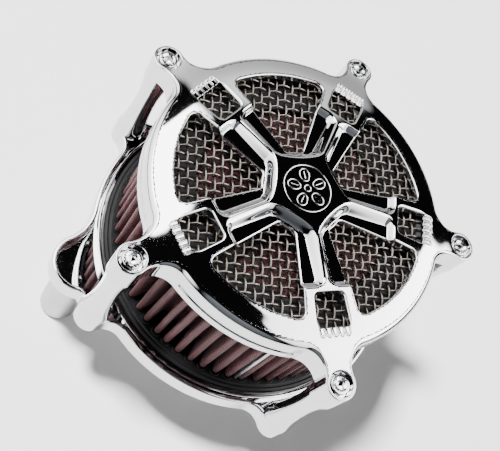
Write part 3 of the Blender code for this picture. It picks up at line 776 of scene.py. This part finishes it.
def back_plate():
    shell = Shell()
    samples = plate_samples()
    floor_inset, foot_inset = 2.9, 1.4
    rim = [(-foot_inset, 0.0), (0.0, 0.0), (0.0, PLATE_RIM_Z), (-2.2, PLATE_RIM_Z)]
    rim += [(-2.3, PLATE_FLOOR_Z), (-floor_inset, PLATE_FLOOR_Z)]
    shell.grid(rows_along(samples, [tuple(p) for p in rounded(rim, (1.2, 1.3, 0.7, 0.6), 6)]))
    bore = unit_circle(72) * INTAKE_BORE_R
    small = unit_circle(24)
    coarse = lattice((-100.0, 100.0), (-100.0, 100.0), 5.0)
    screw_places = [np.array(centre_mm(f"intake_screw_{k}").xy) for k in (1, 2, 3)]
    screws = [at + small * SCREW_HOLE_R for at in screw_places]
    xy, faces = triangulated(plate_inset(samples, floor_inset), [bore, *screws], coarse, 1.2)
    shell.level(xy, PLATE_FLOOR_Z, 1.0, faces)
    sockets = [np.array(at) + small * SOCKET_R for at in SLEEVES.values()]
    xy, faces = triangulated(plate_inset(samples, foot_inset), [bore, *screws, *sockets], coarse, 1.2)
    shell.level(xy, 0.0, -1.0, faces)
    lathe(shell, [(INTAKE_BORE_R, 0.0), (INTAKE_BORE_R, PLATE_FLOOR_Z)], steps=72)
    for at in screw_places:
        lathe(shell, [(SCREW_HOLE_R, 0.0), (SCREW_HOLE_R, PLATE_FLOOR_Z)], at, 24)
    for at in SLEEVES.values():
        lathe(shell, [(SOCKET_R, 0.0), (SOCKET_R, 3.0), (0.0, 3.0)], at, 24)
    lathe(shell, rounded([(74.3, 4.9), (74.3, 9.5), (73.0, 9.5), (73.0, 4.9)], 0.4), steps=240)
    post = [(SCREW_HOLE_R, POST_TOP_Z), (6.4, POST_TOP_Z), (5.9, 50.0), (5.25, 43.0), (5.05, 35.0)]
    post += [(5.35, 26.0), (6.2, 17.0), (7.35, 11.0), (7.45, 9.4)]
    post = rounded(post, (0.5, 3.0, 3.0, 4.0, 4.5, 4.5, 3.0, 0.8), 5)
    for angle in EAR_ANGLES:
        at = polar(SCREW_R, angle)
        lathe(shell, post, at, 64)
        lathe(shell, [(SCREW_HOLE_R, POST_TOP_Z), (SCREW_HOLE_R, 39.0), (0.0, 38.4)], at, 32)
    return shell.build("back_plate_chrome", weld=3)


# Screws


def socket_screw(name, at, head_r, head, shank_r, tip_z, hexagon_r, depth, crown=0.0):
    """A socket-head screw. head is (low, high); crown is how far the head's edge falls below its middle."""
    shell = Shell()
    low, high = head
    at = np.array(at)
    rounding = 1.6 if crown else 0.8
    point = 0.6
    mouth = hexagon_r * 1.35
    lathe(shell, rounded([(mouth, high), (head_r, high - crown), (head_r, low)], rounding, 6), at, 64)
    lathe(shell, [(head_r, low), (shank_r, low)], at, 32)
    lathe(shell, [(shank_r, low), (shank_r, tip_z + point), (shank_r - point, tip_z), (0.0, tip_z)], at, 32)
    pitch, sides = 0.8, 24
    turns = np.arange(sides) * 2 * math.pi / sides
    start, end = tip_z + pitch, low - 6.0
    rows = []
    for i in range(int((end - start) / (pitch / 4))):
        z = start + i * pitch / 4
        ripple = shank_r + 0.12 + 0.14 * np.cos(2 * math.pi * (z / pitch) - turns)
        rows.append(at_height(at + unit_circle(sides) * ripple[:, None], z))
    shell.grid(rows)

    # The hexagon socket, down from its round mouth
    sides = 48
    circle = unit_circle(sides) * hexagon_r
    aside = np.mod(np.arange(sides) * 2 * math.pi / sides, math.pi / 3) - math.pi / 6
    hexagon = circle * (math.cos(math.pi / 6) / np.cos(aside))[:, None]
    steps = [(circle * 1.35, high), (circle * 1.12, high - 0.35), (hexagon, high - 0.6)]
    steps += [(hexagon, high - depth), (hexagon * 0.02, high - depth - 0.5)]
    shell.facets([at_height(at + xy, z) for xy, z in steps])
    return shell.build(name)


# Woven screen


def tube(shell, path, radius, sides, closed=False):
    """A round wire along a path."""
    path = np.asarray(path, float)
    if closed:
        along = np.roll(path, -1, axis=0) - np.roll(path, 1, axis=0)
    else:
        along = np.gradient(path, axis=0)
    along /= np.linalg.norm(along, axis=1, keepdims=True)
    up = np.tile([0.0, 0.0, 1.0], (len(path), 1))
    up[np.abs(along[:, 2]) > 0.95] = (1.0, 0.0, 0.0)
    side = np.cross(along, up)
    side /= np.linalg.norm(side, axis=1, keepdims=True)
    up = np.cross(side, along)
    turns = np.arange(sides) * 2 * math.pi / sides
    ring = side[:, None, :] * np.cos(turns)[None, :, None] + up[:, None, :] * np.sin(turns)[None, :, None]
    points = path[:, None, :] + ring * radius
    rows, columns_round = points.shape[:2]
    faces = grid_faces(rows, columns_round, looped=closed)
    if not closed:
        faces.append(tuple(range(columns_round)))
        faces.append(tuple(range((rows - 1) * columns_round, rows * columns_round)))
    shell.add(points.reshape(-1, 3), ring.reshape(-1, 3), faces)


def screen():
    """Crimped wires, each over and under the ones it crosses."""
    shell = Shell()
    middle = (SCREEN_LOW + SCREEN_HIGH) / 2
    lift = (SCREEN_HIGH - SCREEN_LOW) / 4
    reach = SCREEN_R - 0.5
    bold_r = (54.0, 58.5)  # the crimps fade to their usual height between these radii
    count = int(SCREEN_R / WEAVE_PITCH) + 1
    for family, angle in enumerate((WEAVE_ANGLE, WEAVE_ANGLE + 90.0)):
        way, across = polar(1.0, angle), polar(1.0, angle + 90.0)
        for i in range(-count, count + 1):
            offset = i * WEAVE_PITCH
            if abs(offset) >= reach - 3:
                continue
            half = math.sqrt(reach**2 - offset**2)
            s = np.linspace(-half, half, int(2 * half / (WEAVE_PITCH / 5)))
            wave = np.sin(math.pi * (s / WEAVE_PITCH + 0.5 + i + family))
            bold = 1 + 0.5 * (1 - smooth_step(*bold_r, np.hypot(s, offset)))
            path = [way.x * s + across.x * offset, way.y * s + across.y * offset, middle + lift * wave * bold]
            tube(shell, np.column_stack(path), lift + 0.05, 7)
    return shell.build("woven_screen")


# Filter element


def waver(index, seed):
    """A repeatable number between -1 and 1."""
    value = math.sin(index * 12.9898 + seed * 78.233) * 43758.5453
    return 2 * (value - math.floor(value)) - 1


def pleat_angle(index):
    return SEAM_ANGLE + 360.0 / PLEATS * (index + 0.5) + 0.35 * waver(index, 1.0)


def fold_path(tip_r=66.7, root_r=55.0, tip=1.55, waist=1.45):
    """Points along the folded sheet, as (angle in degrees, radius, pleat), once round from the seam."""
    path = []
    for k in range(PLEATS):
        bulge = tip * (1 + 0.08 * waver(k, 2.0))
        centre = tip_r - bulge
        root_half = math.radians(180.0 / PLEATS) * root_r
        foot = root_r + 1.2
        flank = [(waist + (bulge - waist) * t, foot + (centre - root_r - 1.2) * t) for t in (0.7, 0.35, 0)]
        shape = [(-root_half, root_r), (-root_half + 0.55, root_r + 0.45)]
        shape += [(-aside, radius) for aside, radius in reversed(flank)]
        shape += [(-bulge * math.cos(t), centre + bulge * math.sin(t)) for t in np.linspace(0, math.pi, 9)]
        shape += [*flank, (root_half - 0.55, root_r + 0.45)]
        path += [(pleat_angle(k) + math.degrees(aside / radius), radius, k) for aside, radius in shape]
    return path


def sheet(name, rows, u, v):
    """A sheet closed round its rows, with coordinates in millimetres along and up it."""
    rows = np.asarray(rows, float)
    n, m = rows.shape[:2]
    corners = ((0, 0), (1, 0), (1, 1), (0, 1))
    mesh = bpy.data.meshes.new(name)
    mesh.from_pydata((rows.reshape(-1, 3) * MM).tolist(), [], grid_faces(n, m))
    cloth = [(u[j + a], v[i + b]) for i in range(n - 1) for j in range(m) for a, b in corners]
    mesh.uv_layers.new(name="cloth").data.foreach_set("uv", np.ravel(cloth))
    mesh.shade_smooth()
    return placed(name, mesh)


def filter_pleats():
    low, high = 11.4, 63.9
    path = fold_path()
    levels = np.linspace(low, high, 9)
    rows = []
    for z in levels:
        row = []
        for angle, radius, k in path:
            sway = 0.14 * math.sin(z * 0.11 + 3 * waver(k, 3.0)) + 0.05 * waver(k, 4.0)
            row.append((*polar(radius, angle + sway), z))
        rows.append(row)
    first = np.array(rows[0])
    steps = np.linalg.norm(np.roll(first, -1, axis=0) - first, axis=1)
    return sheet("gauze_pleats", rows, np.concatenate([[0.0], np.cumsum(steps)]), levels)


def top_media():
    """Pleated disc in the front of the element."""
    inner, outer = 4.3, 45.4
    folds, fold_points = 44, 10
    around = folds * fold_points
    radii = np.linspace(inner, outer, 26)
    rows = []
    for r in radii:
        share = (r - inner) / (outer - inner)
        middle = 59.6 + 5.0 * smooth_step(0.0, 1.1, share) + 0.6 * share
        swing = 0.35 + 1.25 * share
        row = []
        for j in range(around):
            t = (j / around * folds + 0.1 * waver(j // fold_points, 5.0)) % 1.0
            fold = math.cos(2 * math.pi * t)
            fold = math.copysign(abs(fold) ** 0.75, fold)
            row.append((*polar(r, 360.0 * j / around), middle + swing * fold))
        rows.append(row)
    u = np.linspace(0, 2 * math.pi * 26.0 * 1.6, around + 1)
    return sheet("gauze_front", rows, u, radii)


def rubber_ring(name, profile, loop_z, lift, centre=65.6):
    """A moulded end ring with the round marks that the pleats' ends leave in it."""
    shell = Shell()
    lathe(shell, profile, steps=240)
    reach = 2.15
    path = [(-2.0, 59.5), (-2.1, 62.5)]
    path += [(-reach * math.cos(t), centre + reach * 0.95 * math.sin(t)) for t in np.linspace(0, math.pi, 9)]
    path += [(2.1, 62.5), (2.0, 59.5)]
    for k in range(PLEATS):
        tube(shell, [(*beside(r, pleat_angle(k), aside), loop_z) for aside, r in path], lift, 6)
    return shell.build(name)


def seam_clip():
    """Folded metal strip over the seam between two pleats."""
    shell = Shell()
    low, high = heights("filter_seam_clip")
    half, thickness, inner, outer = 0.75, 0.25, 64.9, 66.75
    chamfer, roof = outer - 0.35, outer - 0.6
    outside = [(half - 0.35, outer), (half, chamfer), (half, inner)]
    inside_wall = [(half - thickness, inner), (half - thickness, roof)]
    outline = [(-aside, r) for aside, r in reversed(outside)] + outside + inside_wall
    outline += [(-aside, r) for aside, r in reversed(inside_wall)]
    for a, b in zip(outline, outline[1:] + outline[:1]):
        strip = np.array([[(*beside(r, SEAM_ANGLE, aside), z) for aside, r in (a, b)] for z in (low, high)])
        flat = np.cross(strip[0][1] - strip[0][0], [0.0, 0.0, 1.0])
        shell.add(strip.reshape(-1, 3), np.tile(flat, (4, 1)), [(0, 1, 3, 2)])
    cap = np.array([tuple(beside(r, SEAM_ANGLE, aside)) for aside, r in outline])
    for z, way in ((low, -1.0), (high, 1.0)):
        shell.level(cap, z, way, [tuple(range(len(cap)))])
    return shell.build("seam_clip")


def cage():
    """Welded wire cylinder inside the pleats."""
    shell = Shell()
    wire, uprights, hoops = 0.3, 90, 14
    low, high = heights("filter_cage")
    r = box_mm("filter_cage")[1].x - 0.5
    for k in range(uprights):
        x, y = polar(r, 360.0 / uprights * k)
        tube(shell, [(x, y, low), (x, y, high)], wire, 6)
    for k in range(hoops):
        z = low + 0.4 + (high - low - 0.8) * k / (hoops - 1)
        tube(shell, ring_points(r - 0.35, z, 72), wire, 6, closed=True)
    return shell.build("wire_cage")


# Materials


class Look:
    """A material with its nodes at hand."""

    def __init__(self, name, color, roughness, metallic):
        self.material = bpy.data.materials.new(name)
        self.material.use_nodes = True
        self.tree = self.material.node_tree
        self.shader = self.tree.nodes["Principled BSDF"]
        self.shader.inputs["Base Color"].default_value = (*color, 1.0)
        self.shader.inputs["Roughness"].default_value = roughness
        self.shader.inputs["Metallic"].default_value = metallic

    def node(self, kind, **values):
        node = self.tree.nodes.new(kind)
        for key, value in values.items():
            if key in node.inputs:
                node.inputs[key].default_value = value
            else:
                setattr(node, key, value)
        return node

    def link(self, out, into):
        self.tree.links.new(out, into)

    def place(self, source="Object"):
        return self.node("ShaderNodeTexCoord").outputs[source]

    def noise(self, scale, detail, source=None):
        node = self.node("ShaderNodeTexNoise", Scale=scale, Detail=detail)
        self.link(source or self.place(), node.inputs["Vector"])
        return node.outputs["Fac"]

    def ranged(self, value, low, high, start=0.3, end=0.7, kind="LINEAR"):
        node = self.node("ShaderNodeMapRange", interpolation_type=kind)
        for key, number in (("From Min", start), ("From Max", end), ("To Min", low), ("To Max", high)):
            node.inputs[key].default_value = number
        self.link(value, node.inputs["Value"])
        return node.outputs["Result"]

    def blended(self, value, low, high):
        node = self.node("ShaderNodeValToRGB")
        node.color_ramp.elements[0].color = (*low, 1.0)
        node.color_ramp.elements[1].color = (*high, 1.0)
        self.link(value, node.inputs["Fac"])
        return node.outputs["Color"]

    def bump(self, height, strength, distance):
        node = self.node("ShaderNodeBump", Strength=strength, Distance=distance)
        self.link(height, node.inputs["Height"])
        return node.outputs["Normal"]

    def set(self, name, out):
        self.link(out, self.shader.inputs[name])


def chrome(name, color=(0.63, 0.635, 0.65), low=0.02, high=0.05):
    look = Look(name, color, low, 1.0)
    look.set("Roughness", look.ranged(look.noise(90.0, 4.0), low, high))
    look.set("Normal", look.bump(look.noise(160.0, 2.0), 0.02, 0.0004))
    return look.material


def brushed(name, light, dark, low, high, stretch, scale):
    """Drawn or turned bare metal with fine lines. stretch squeezes the pattern along an axis."""
    look = Look(name, light, low, 1.0)
    mapping = look.node("ShaderNodeMapping")
    mapping.inputs["Scale"].default_value = stretch
    look.link(look.place(), mapping.inputs["Vector"])
    lines = look.noise(scale, 4.0, mapping.outputs["Vector"])
    patches = look.noise(60.0, 3.0)
    look.set("Base Color", look.blended(look.ranged(patches, 0.0, 1.0), dark, light))
    look.set("Roughness", look.ranged(lines, low, high))
    look.set("Normal", look.bump(lines, 0.15, 0.0002))
    return look.material


def rubber(name, color, low, high):
    look = Look(name, color, low, 0.0)
    look.set("Roughness", look.ranged(look.noise(120.0, 4.0), low, high))
    look.set("Base Color", look.blended(look.noise(70.0, 3.0), color, tuple(c * 1.7 for c in color)))
    look.set("Normal", look.bump(look.noise(1400.0, 2.0), 0.12, 0.0002))
    look.shader.inputs["Specular IOR Level"].default_value = 0.16
    return look.material


def gauze(name, shade=1.0):
    """Oiled cotton under a fine wire cloth, woven on the sheet's own coordinates in millimetres. A shade
    below 1 darkens every tone, as painted shade.
    """
    look = Look(name, (0.2, 0.04, 0.045), 0.7, 0.0)
    cloth = look.place("UV")

    pitch = 1.5

    def threads(turn):
        mapping = look.node("ShaderNodeMapping")
        mapping.inputs["Rotation"].default_value = (0.0, 0.0, math.radians(turn))
        look.link(cloth, mapping.inputs["Vector"])
        wave = look.node("ShaderNodeTexWave", Scale=math.pi / 10 / pitch, Distortion=0.8, Detail=1.0)
        look.link(mapping.outputs["Vector"], wave.inputs["Vector"])
        return wave.outputs["Fac"]

    first, second = threads(45.0), threads(-45.0)
    crossing = look.node("ShaderNodeMath", operation="MAXIMUM")
    look.link(first, crossing.inputs[0])
    look.link(second, crossing.inputs[1])
    pile = look.noise(0.9, 4.0, cloth)
    thread = look.ranged(crossing.outputs["Value"], 0.0, 1.0, 0.8, 1.0)
    tones = (0.005, 0.0008, 0.0012), (0.015, 0.0022, 0.003), (0.19, 0.04, 0.05)
    # shade scales every tone down; below 1 it is painted shade, not a darker cloth
    dark, light, thread_tone = (tuple(c * shade for c in tone) for tone in tones)
    base = look.blended(look.ranged(pile, 0.0, 1.0), dark, light)
    mixed = look.node("ShaderNodeMix", data_type="RGBA")
    look.link(thread, mixed.inputs["Factor"])
    look.link(base, mixed.inputs[6])
    mixed.inputs[7].default_value = (*thread_tone, 1.0)
    look.set("Base Color", mixed.outputs[2])
    look.set("Normal", look.bump(crossing.outputs["Value"], 0.5, 0.0003))
    look.shader.inputs["Sheen Weight"].default_value = 0.04
    look.shader.inputs["Sheen Roughness"].default_value = 0.4
    return look.material


def fibre(name, dark, light):
    look = Look(name, dark, 0.85, 0.0)
    flecks = look.noise(900.0, 5.0)
    look.set("Base Color", look.blended(look.ranged(flecks, 0.0, 1.0), dark, light))
    look.set("Normal", look.bump(flecks, 0.3, 0.0002))
    return look.material


CHROME = chrome("polished_chrome")
SCREW_CHROME = chrome("screw_chrome", (0.64, 0.64, 0.65), 0.05, 0.1)
TURNED = (1.0, 1.0, 14.0)
EVEN = (1.0, 1.0, 1.0)
SATIN = brushed("satin_aluminium", (0.5, 0.505, 0.51), (0.42, 0.425, 0.43), 0.32, 0.48, TURNED, 240.0)
ZINC = brushed("zinc_plate", (0.6, 0.61, 0.62), (0.45, 0.46, 0.48), 0.28, 0.45, EVEN, 300.0)
WIRE = brushed("oxidised_wire", (0.21, 0.19, 0.17), (0.11, 0.098, 0.085), 0.22, 0.32, EVEN, 700.0)
BLACK_STEEL = rubber("black_phosphate", (0.02, 0.02, 0.021), 0.4, 0.6)
RUBBER = rubber("moulded_rubber", (0.004, 0.004, 0.0043), 0.3, 0.48)
GAUZE = gauze("oiled_gauze")
# A darker copy of the same gauze for the front disc: painted shade for the shade under the cover's spokes and
# screen.
SHADE_PAINTED_GAUZE = gauze("oiled_gauze_shade_painted", 0.22)
PAPER = fibre("gasket_fibre", (0.05, 0.047, 0.043), (0.14, 0.13, 0.12))


# Pieces


def piece(obj, body, slot, material, *nodes):
    obj.data.materials.clear()
    obj.data.materials.append(material)
    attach(obj, body)
    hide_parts(*nodes)


piece(face_plate(), "cover", "chrome", CHROME, "face_plate")
piece(back_plate(), "root", "chrome", CHROME, "back_plate")
piece(screen(), "cover", "mesh_wire", WIRE, "face_mesh")
for number, at in enumerate(SCREWS, start=1):
    node = f"face_screw_{number}"
    tip, top = heights(node)
    screw = socket_screw(f"socket_screw_{number}", at, 4.25, (66.2, top), 2.22, tip, hexagon_r=2.3, depth=2.6)
    piece(screw, node, "screw_chrome", SCREW_CHROME, node)
for number in (1, 2, 3):
    node = f"intake_screw_{number}"
    tip, top = heights(node)
    at = centre_mm(node).xy
    screw = socket_screw(f"button_screw_{number}", at, 4.2, (8.6, top), 2.12, tip, 1.6, 1.8, crown=1.6)
    piece(screw, "root", "zinc_steel", ZINC, node)

piece(filter_pleats(), "filter_element", "oiled_gauze", GAUZE, "filter_pleats")
# The front disc gets the darker copy of the gauze: painted shade.
piece(top_media(), "filter_element", "oiled_gauze", SHADE_PAINTED_GAUZE, "filter_top_media")
base_low, base_high = heights("filter_base_ring")
bore_r, bead = 47.0, [(71.6, 9.9), (70.0, 10.5), (69.4, 10.1), (68.6, 10.8)]
base_profile = [(bore_r, base_high - 0.9), (bore_r, base_low), (71.6, base_low), *bead]
base_profile += [(bore_r, 10.8), (bore_r, base_low + 1.0)]
base_profile = rounded(base_profile, (0.5, 0.5, 0.8, 0.4, 0.4, 0.4, 0.3))
base_ring = rubber_ring("rubber_base_ring", base_profile, 10.75, 0.5)
piece(base_ring, "filter_element", "black_rubber", RUBBER, "filter_base_ring")
top_low, top_high = heights("filter_top_ring")
top_foot = top_low + 0.5
top_profile = [(46.0, top_low + 0.6), (46.0, top_high), (66.8, top_high), (66.8, top_foot), (46.0, top_foot)]
top_profile = rounded(top_profile, 0.9)
top_ring = rubber_ring("rubber_top_ring", top_profile, top_low + 0.55, 0.5, centre=64.9)
piece(top_ring, "filter_element", "black_rubber", RUBBER, "filter_top_ring")
cap_low, cap_high = heights("filter_top_cap")
cap_profile = [(0.0, cap_high), (2.6, cap_high - 0.1), (4.0, cap_high - 1.2), (4.0, cap_low), (0.0, cap_low)]
cap = turned("rubber_front_cap", rounded(cap_profile, 0.6))
piece(cap, "filter_element", "black_rubber", RUBBER, "filter_top_cap")
piece(seam_clip(), "filter_element", "zinc_steel", ZINC, "filter_seam_clip")
piece(cage(), "filter_element", "zinc_steel", ZINC, "filter_cage")

bell = [(24.6, 0.5), (24.6, 12.0), (25.2, 15.6), (26.6, 17.0), (28.6, 16.6), (28.9, 14.4), (27.5, 8.3)]
flange = [(38.0, 8.3), (38.0, 5.3), (26.7, 5.3), (26.7, 0.5), (24.6, 0.5)]
ring_profile = rounded([*bell, *flange], (2.0, 1.5, 1.2, 0.8, 0.8, 0.8, 0.4, 0.2, 0.2, 0.3))
piece(turned("intake_bell_mouth", ring_profile), "root", "satin_aluminium", SATIN, "intake_ring")
for side, at in SLEEVES.items():
    low = box_mm(f"breather_sleeve_{side}")[0].z
    outside = [(2.2, 2.7), (6.0, 2.7), (6.0, -0.3), (9.2, -0.3), (9.2, low), (5.5, low)]
    groove = [(5.5, low + 3.0), (7.2, low + 3.0), (7.2, low + 5.6), (5.5, low + 5.6)]
    bore = [(5.5, -8.0), (2.2, -8.0), (2.2, 2.7)]
    profile = rounded([*outside, *groove, *bore], (0.3, 0.1, 0.5, 1.6, 0.3, 0.1, 0.1, 0.1, 0.1, 0.4, 0.2))
    sleeve = turned(f"sleeve_{side}", profile, at, 96)
    piece(sleeve, "root", "satin_aluminium", SATIN, f"breather_sleeve_{side}")
    turns = [2 * math.pi * i / 16 for i in range(17)]
    round_profile = [(5.9 + 0.94 * math.cos(t), low + 4.3 - 0.94 * math.sin(t)) for t in turns]
    o_ring = turned(f"o_ring_{side}", round_profile, at, 64)
    piece(o_ring, "root", "black_rubber", RUBBER, f"sleeve_o_ring_{side}")

kept = {"mesh_retainer": BLACK_STEEL, "throttle_gasket": PAPER}
kept.update({f"retainer_screw_{number}": ZINC for number in range(1, 6)})
for name, look in kept.items():
    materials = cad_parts[name].data.materials
    materials.clear()
    materials.append(look)


# Emblem: a plain five-petal rosette engraved in the hub


def emblem():
    shell = Shell()
    line, vein = 0.3, 0.24
    petal_start, petal_length, petal_half = 3.4, 6.0, 2.5
    z = float(dome_height(np.array(0.0))) - 0.08
    for angle in EAR_ANGLES:
        middle = angle + HALF_SECTOR
        outline = []
        for t in np.linspace(0, 2 * math.pi, 49)[:-1]:
            share = 0.5 - 0.5 * math.cos(t)
            aside = petal_half * math.sin(t) * (0.75 + 0.35 * share)
            outline.append((*beside(petal_start + petal_length * share, middle, aside), z))
        tube(shell, outline, line, 8, closed=True)
        tube(shell, [(*polar(r, middle), z) for r in np.linspace(4.6, 8.0, 12)], vein, 8)
    for r in (1.5, 11.2):
        tube(shell, ring_points(r, z, 120), line, 8, closed=True)
    return shell.build("hub_rosette")


rosette = emblem()
rosette.data.materials.append(SCREW_CHROME)
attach(rosette, "cover")


# Floor, light and camera


def staged(name, points, faces, look, hidden_from=()):
    """A part of the studio: floor, wall or panel."""
    mesh = bpy.data.meshes.new(name)
    mesh.from_pydata(points, [], faces)
    mesh.materials.append(look.material)
    obj = placed(name, mesh)
    for ray in hidden_from:
        setattr(obj, f"visible_{ray}", False)
    return obj


def stage_floor():
    size = 7.0
    z = (FLOOR_Z - 0.3) * MM
    look = Look("pale_floor", (0.8, 0.8, 0.8), 0.9, 0.0)
    look.set("Base Color", look.blended(look.noise(3.0, 2.0), (0.79, 0.785, 0.785), (0.81, 0.805, 0.8)))
    look.shader.inputs["Emission Color"].default_value = (1.0, 0.99, 0.985, 1.0)
    look.shader.inputs["Emission Strength"].default_value = FLOOR_GLOW
    corners = [(-size, -size, z), (size, -size, z), (size, size, z), (-size, size, z)]
    staged("floor", corners, [(0, 1, 2, 3)], look)


def backdrop():
    """A pale wall all round, so that views across the floor end in studio paper."""
    radius, height, steps = 6.5, 7.0, 64
    points = [p for z in (FLOOR_Z * MM - 0.1, height) for p in ring_points(radius, z, steps)]
    faces = grid_faces(2, steps) + [tuple(range(steps, 2 * steps))]
    look = Look("studio_paper", (0.0, 0.0, 0.0), 1.0, 0.0)
    look.set("Emission Color", look.blended(look.noise(0.4, 2.0), (0.98, 0.98, 0.98), (1.0, 1.0, 1.0)))
    look.shader.inputs["Emission Strength"].default_value = 1.1
    staged("backdrop", points, faces, look, ("glossy", "diffuse", "shadow"))


WARM_WHITE = (1.0, 0.995, 0.985)
COOL_WHITE = (0.88, 0.93, 1.0)


def facing(azimuth, elevation, distance):
    """Place and turn of something that looks at the object from a direction in degrees."""
    a, e = math.radians(azimuth), math.radians(elevation)
    way = Vector((math.cos(e) * math.cos(a), math.cos(e) * math.sin(a), math.sin(e)))
    return Vector((0.0, 0.0, 0.06)) + way * distance, way.to_track_quat("Z", "Y")


def panel(
    name, azimuths, elevations, low, high, soft, square=5.0, lift=1.0, tint=WARM_WHITE, lean=0.0, away=4.5
):
    """A curved glowing panel with soft edges, seen only in reflections, as softboxes and boards are.

    Its glow runs from low at the bottom to high at the top; lift holds the low part for longer.
    The larger square is, the nearer its outline is to a rectangle. lean slants one side.
    """
    across, up = 24, 12
    points, places = [], []
    for v in (i / up for i in range(up + 1)):
        for u in (j / across for j in range(across + 1)):
            azimuth = azimuths[0] + (azimuths[1] + lean * (v - 0.5) - azimuths[0]) * u
            elevation = elevations[0] + (elevations[1] - elevations[0]) * v
            points.append(facing(azimuth, elevation, away)[0])
            places.append((2 * u - 1, 2 * v - 1))
    faces = grid_faces(up + 1, across + 1, closed=False)
    look = Look(name, (0.0, 0.0, 0.0), 1.0, 0.0)
    split = look.node("ShaderNodeSeparateXYZ")
    look.link(look.place("UV"), split.inputs["Vector"])

    def maths(operation, first, second=None, number=None):
        node = look.node("ShaderNodeMath", operation=operation)
        look.link(first, node.inputs[0])
        if second is not None:
            look.link(second, node.inputs[1])
        if number is not None:
            node.inputs[1].default_value = number
        return node.outputs["Value"]

    sides = [maths("POWER", maths("ABSOLUTE", split.outputs[axis]), number=square) for axis in ("X", "Y")]
    mask = look.ranged(maths("ADD", *sides), 0.0, 1.0, 1.0, (1 - soft) ** square, "SMOOTHSTEP")
    height = maths("POWER", look.ranged(split.outputs["Y"], 0.0, 1.0, -1.0, 1.0), number=lift)
    look.shader.inputs["Emission Color"].default_value = (*tint, 1.0)
    look.set("Emission Strength", look.ranged(height, low, high, 0.0, 1.0))
    look.set("Alpha", mask)
    obj = staged(name, points, faces, look, ("camera", "shadow", "diffuse"))
    layer = obj.data.uv_layers.new(name="panel")
    layer.data.foreach_set("uv", [c for face in faces for corner in face for c in places[corner]])


def lamp(name, azimuth, elevation, distance, size, power):
    """A large soft lamp that lights matt surfaces and the floor, and stays out of reflections."""
    light = bpy.data.lights.new(name, "AREA")
    light.shape = "SQUARE"
    light.size = size
    light.energy = power
    obj = placed(name, light)
    obj.location, turn = facing(azimuth, elevation, distance)
    obj.rotation_mode = "QUATERNION"
    obj.rotation_quaternion = turn
    obj.visible_camera = False
    obj.visible_glossy = False


def stage_world():
    world = bpy.data.worlds.new("studio")
    world.use_nodes = True
    background = world.node_tree.nodes["Background"]
    background.inputs["Color"].default_value = (0.004, 0.004, 0.0045, 1.0)
    background.inputs["Strength"].default_value = 1.0
    bpy.context.scene.world = world


def camera():
    data = bpy.data.cameras.new("camera")
    data.sensor_width = 36.0
    data.lens = 65.1
    data.clip_start, data.clip_end = 0.01, 20.0
    obj = placed("camera", data)
    location = Vector((189.75, 147.63, 389.01))
    target = Vector((26.71, 13.30, 72.0))
    roll = math.radians(-44.07)
    look = (target - location).to_track_quat("-Z", "Y").to_matrix() @ Matrix.Rotation(-roll, 3, "Z")
    obj.matrix_world = Matrix.Translation(location * MM) @ look.to_4x4()
    bpy.context.scene.camera = obj


stage_floor()
backdrop()
stage_world()
panel("key_left", (-116.5, -36.0), (46.6, 73.5), 12.0, 12.0, 0.1, 5.0)
panel("key_right", (-232.0, -164.0), (18.0, 75.5), 11.0, 5.0, 0.08, 8.0, 1.5, lean=9.0)
panel("grey_board", (-141.0, -93.5), (-1.0, 47.0), 0.6, 2.2, 0.12, 2.6, 3.0)
panel("front_left", (-84.0, 36.0), (4.0, 62.0), 3.0, 7.0, 0.3, 4.0, away=5.0)
panel("front_right", (94.0, 150.0), (3.0, 60.0), 1.5, 5.0, 0.35, 4.0, away=5.0)
panel("camera_side", (36.0, 94.0), (0.0, 80.0), 0.08, 0.4, 0.3, 3.0, 1.0, COOL_WHITE, away=5.5)
lamp("shadow_maker", -38.0, 66.0, 4.0, 0.6, 700.0)
lamp("front_fill", 60.0, 35.0, 1.6, 1.2, 1.0)
camera()
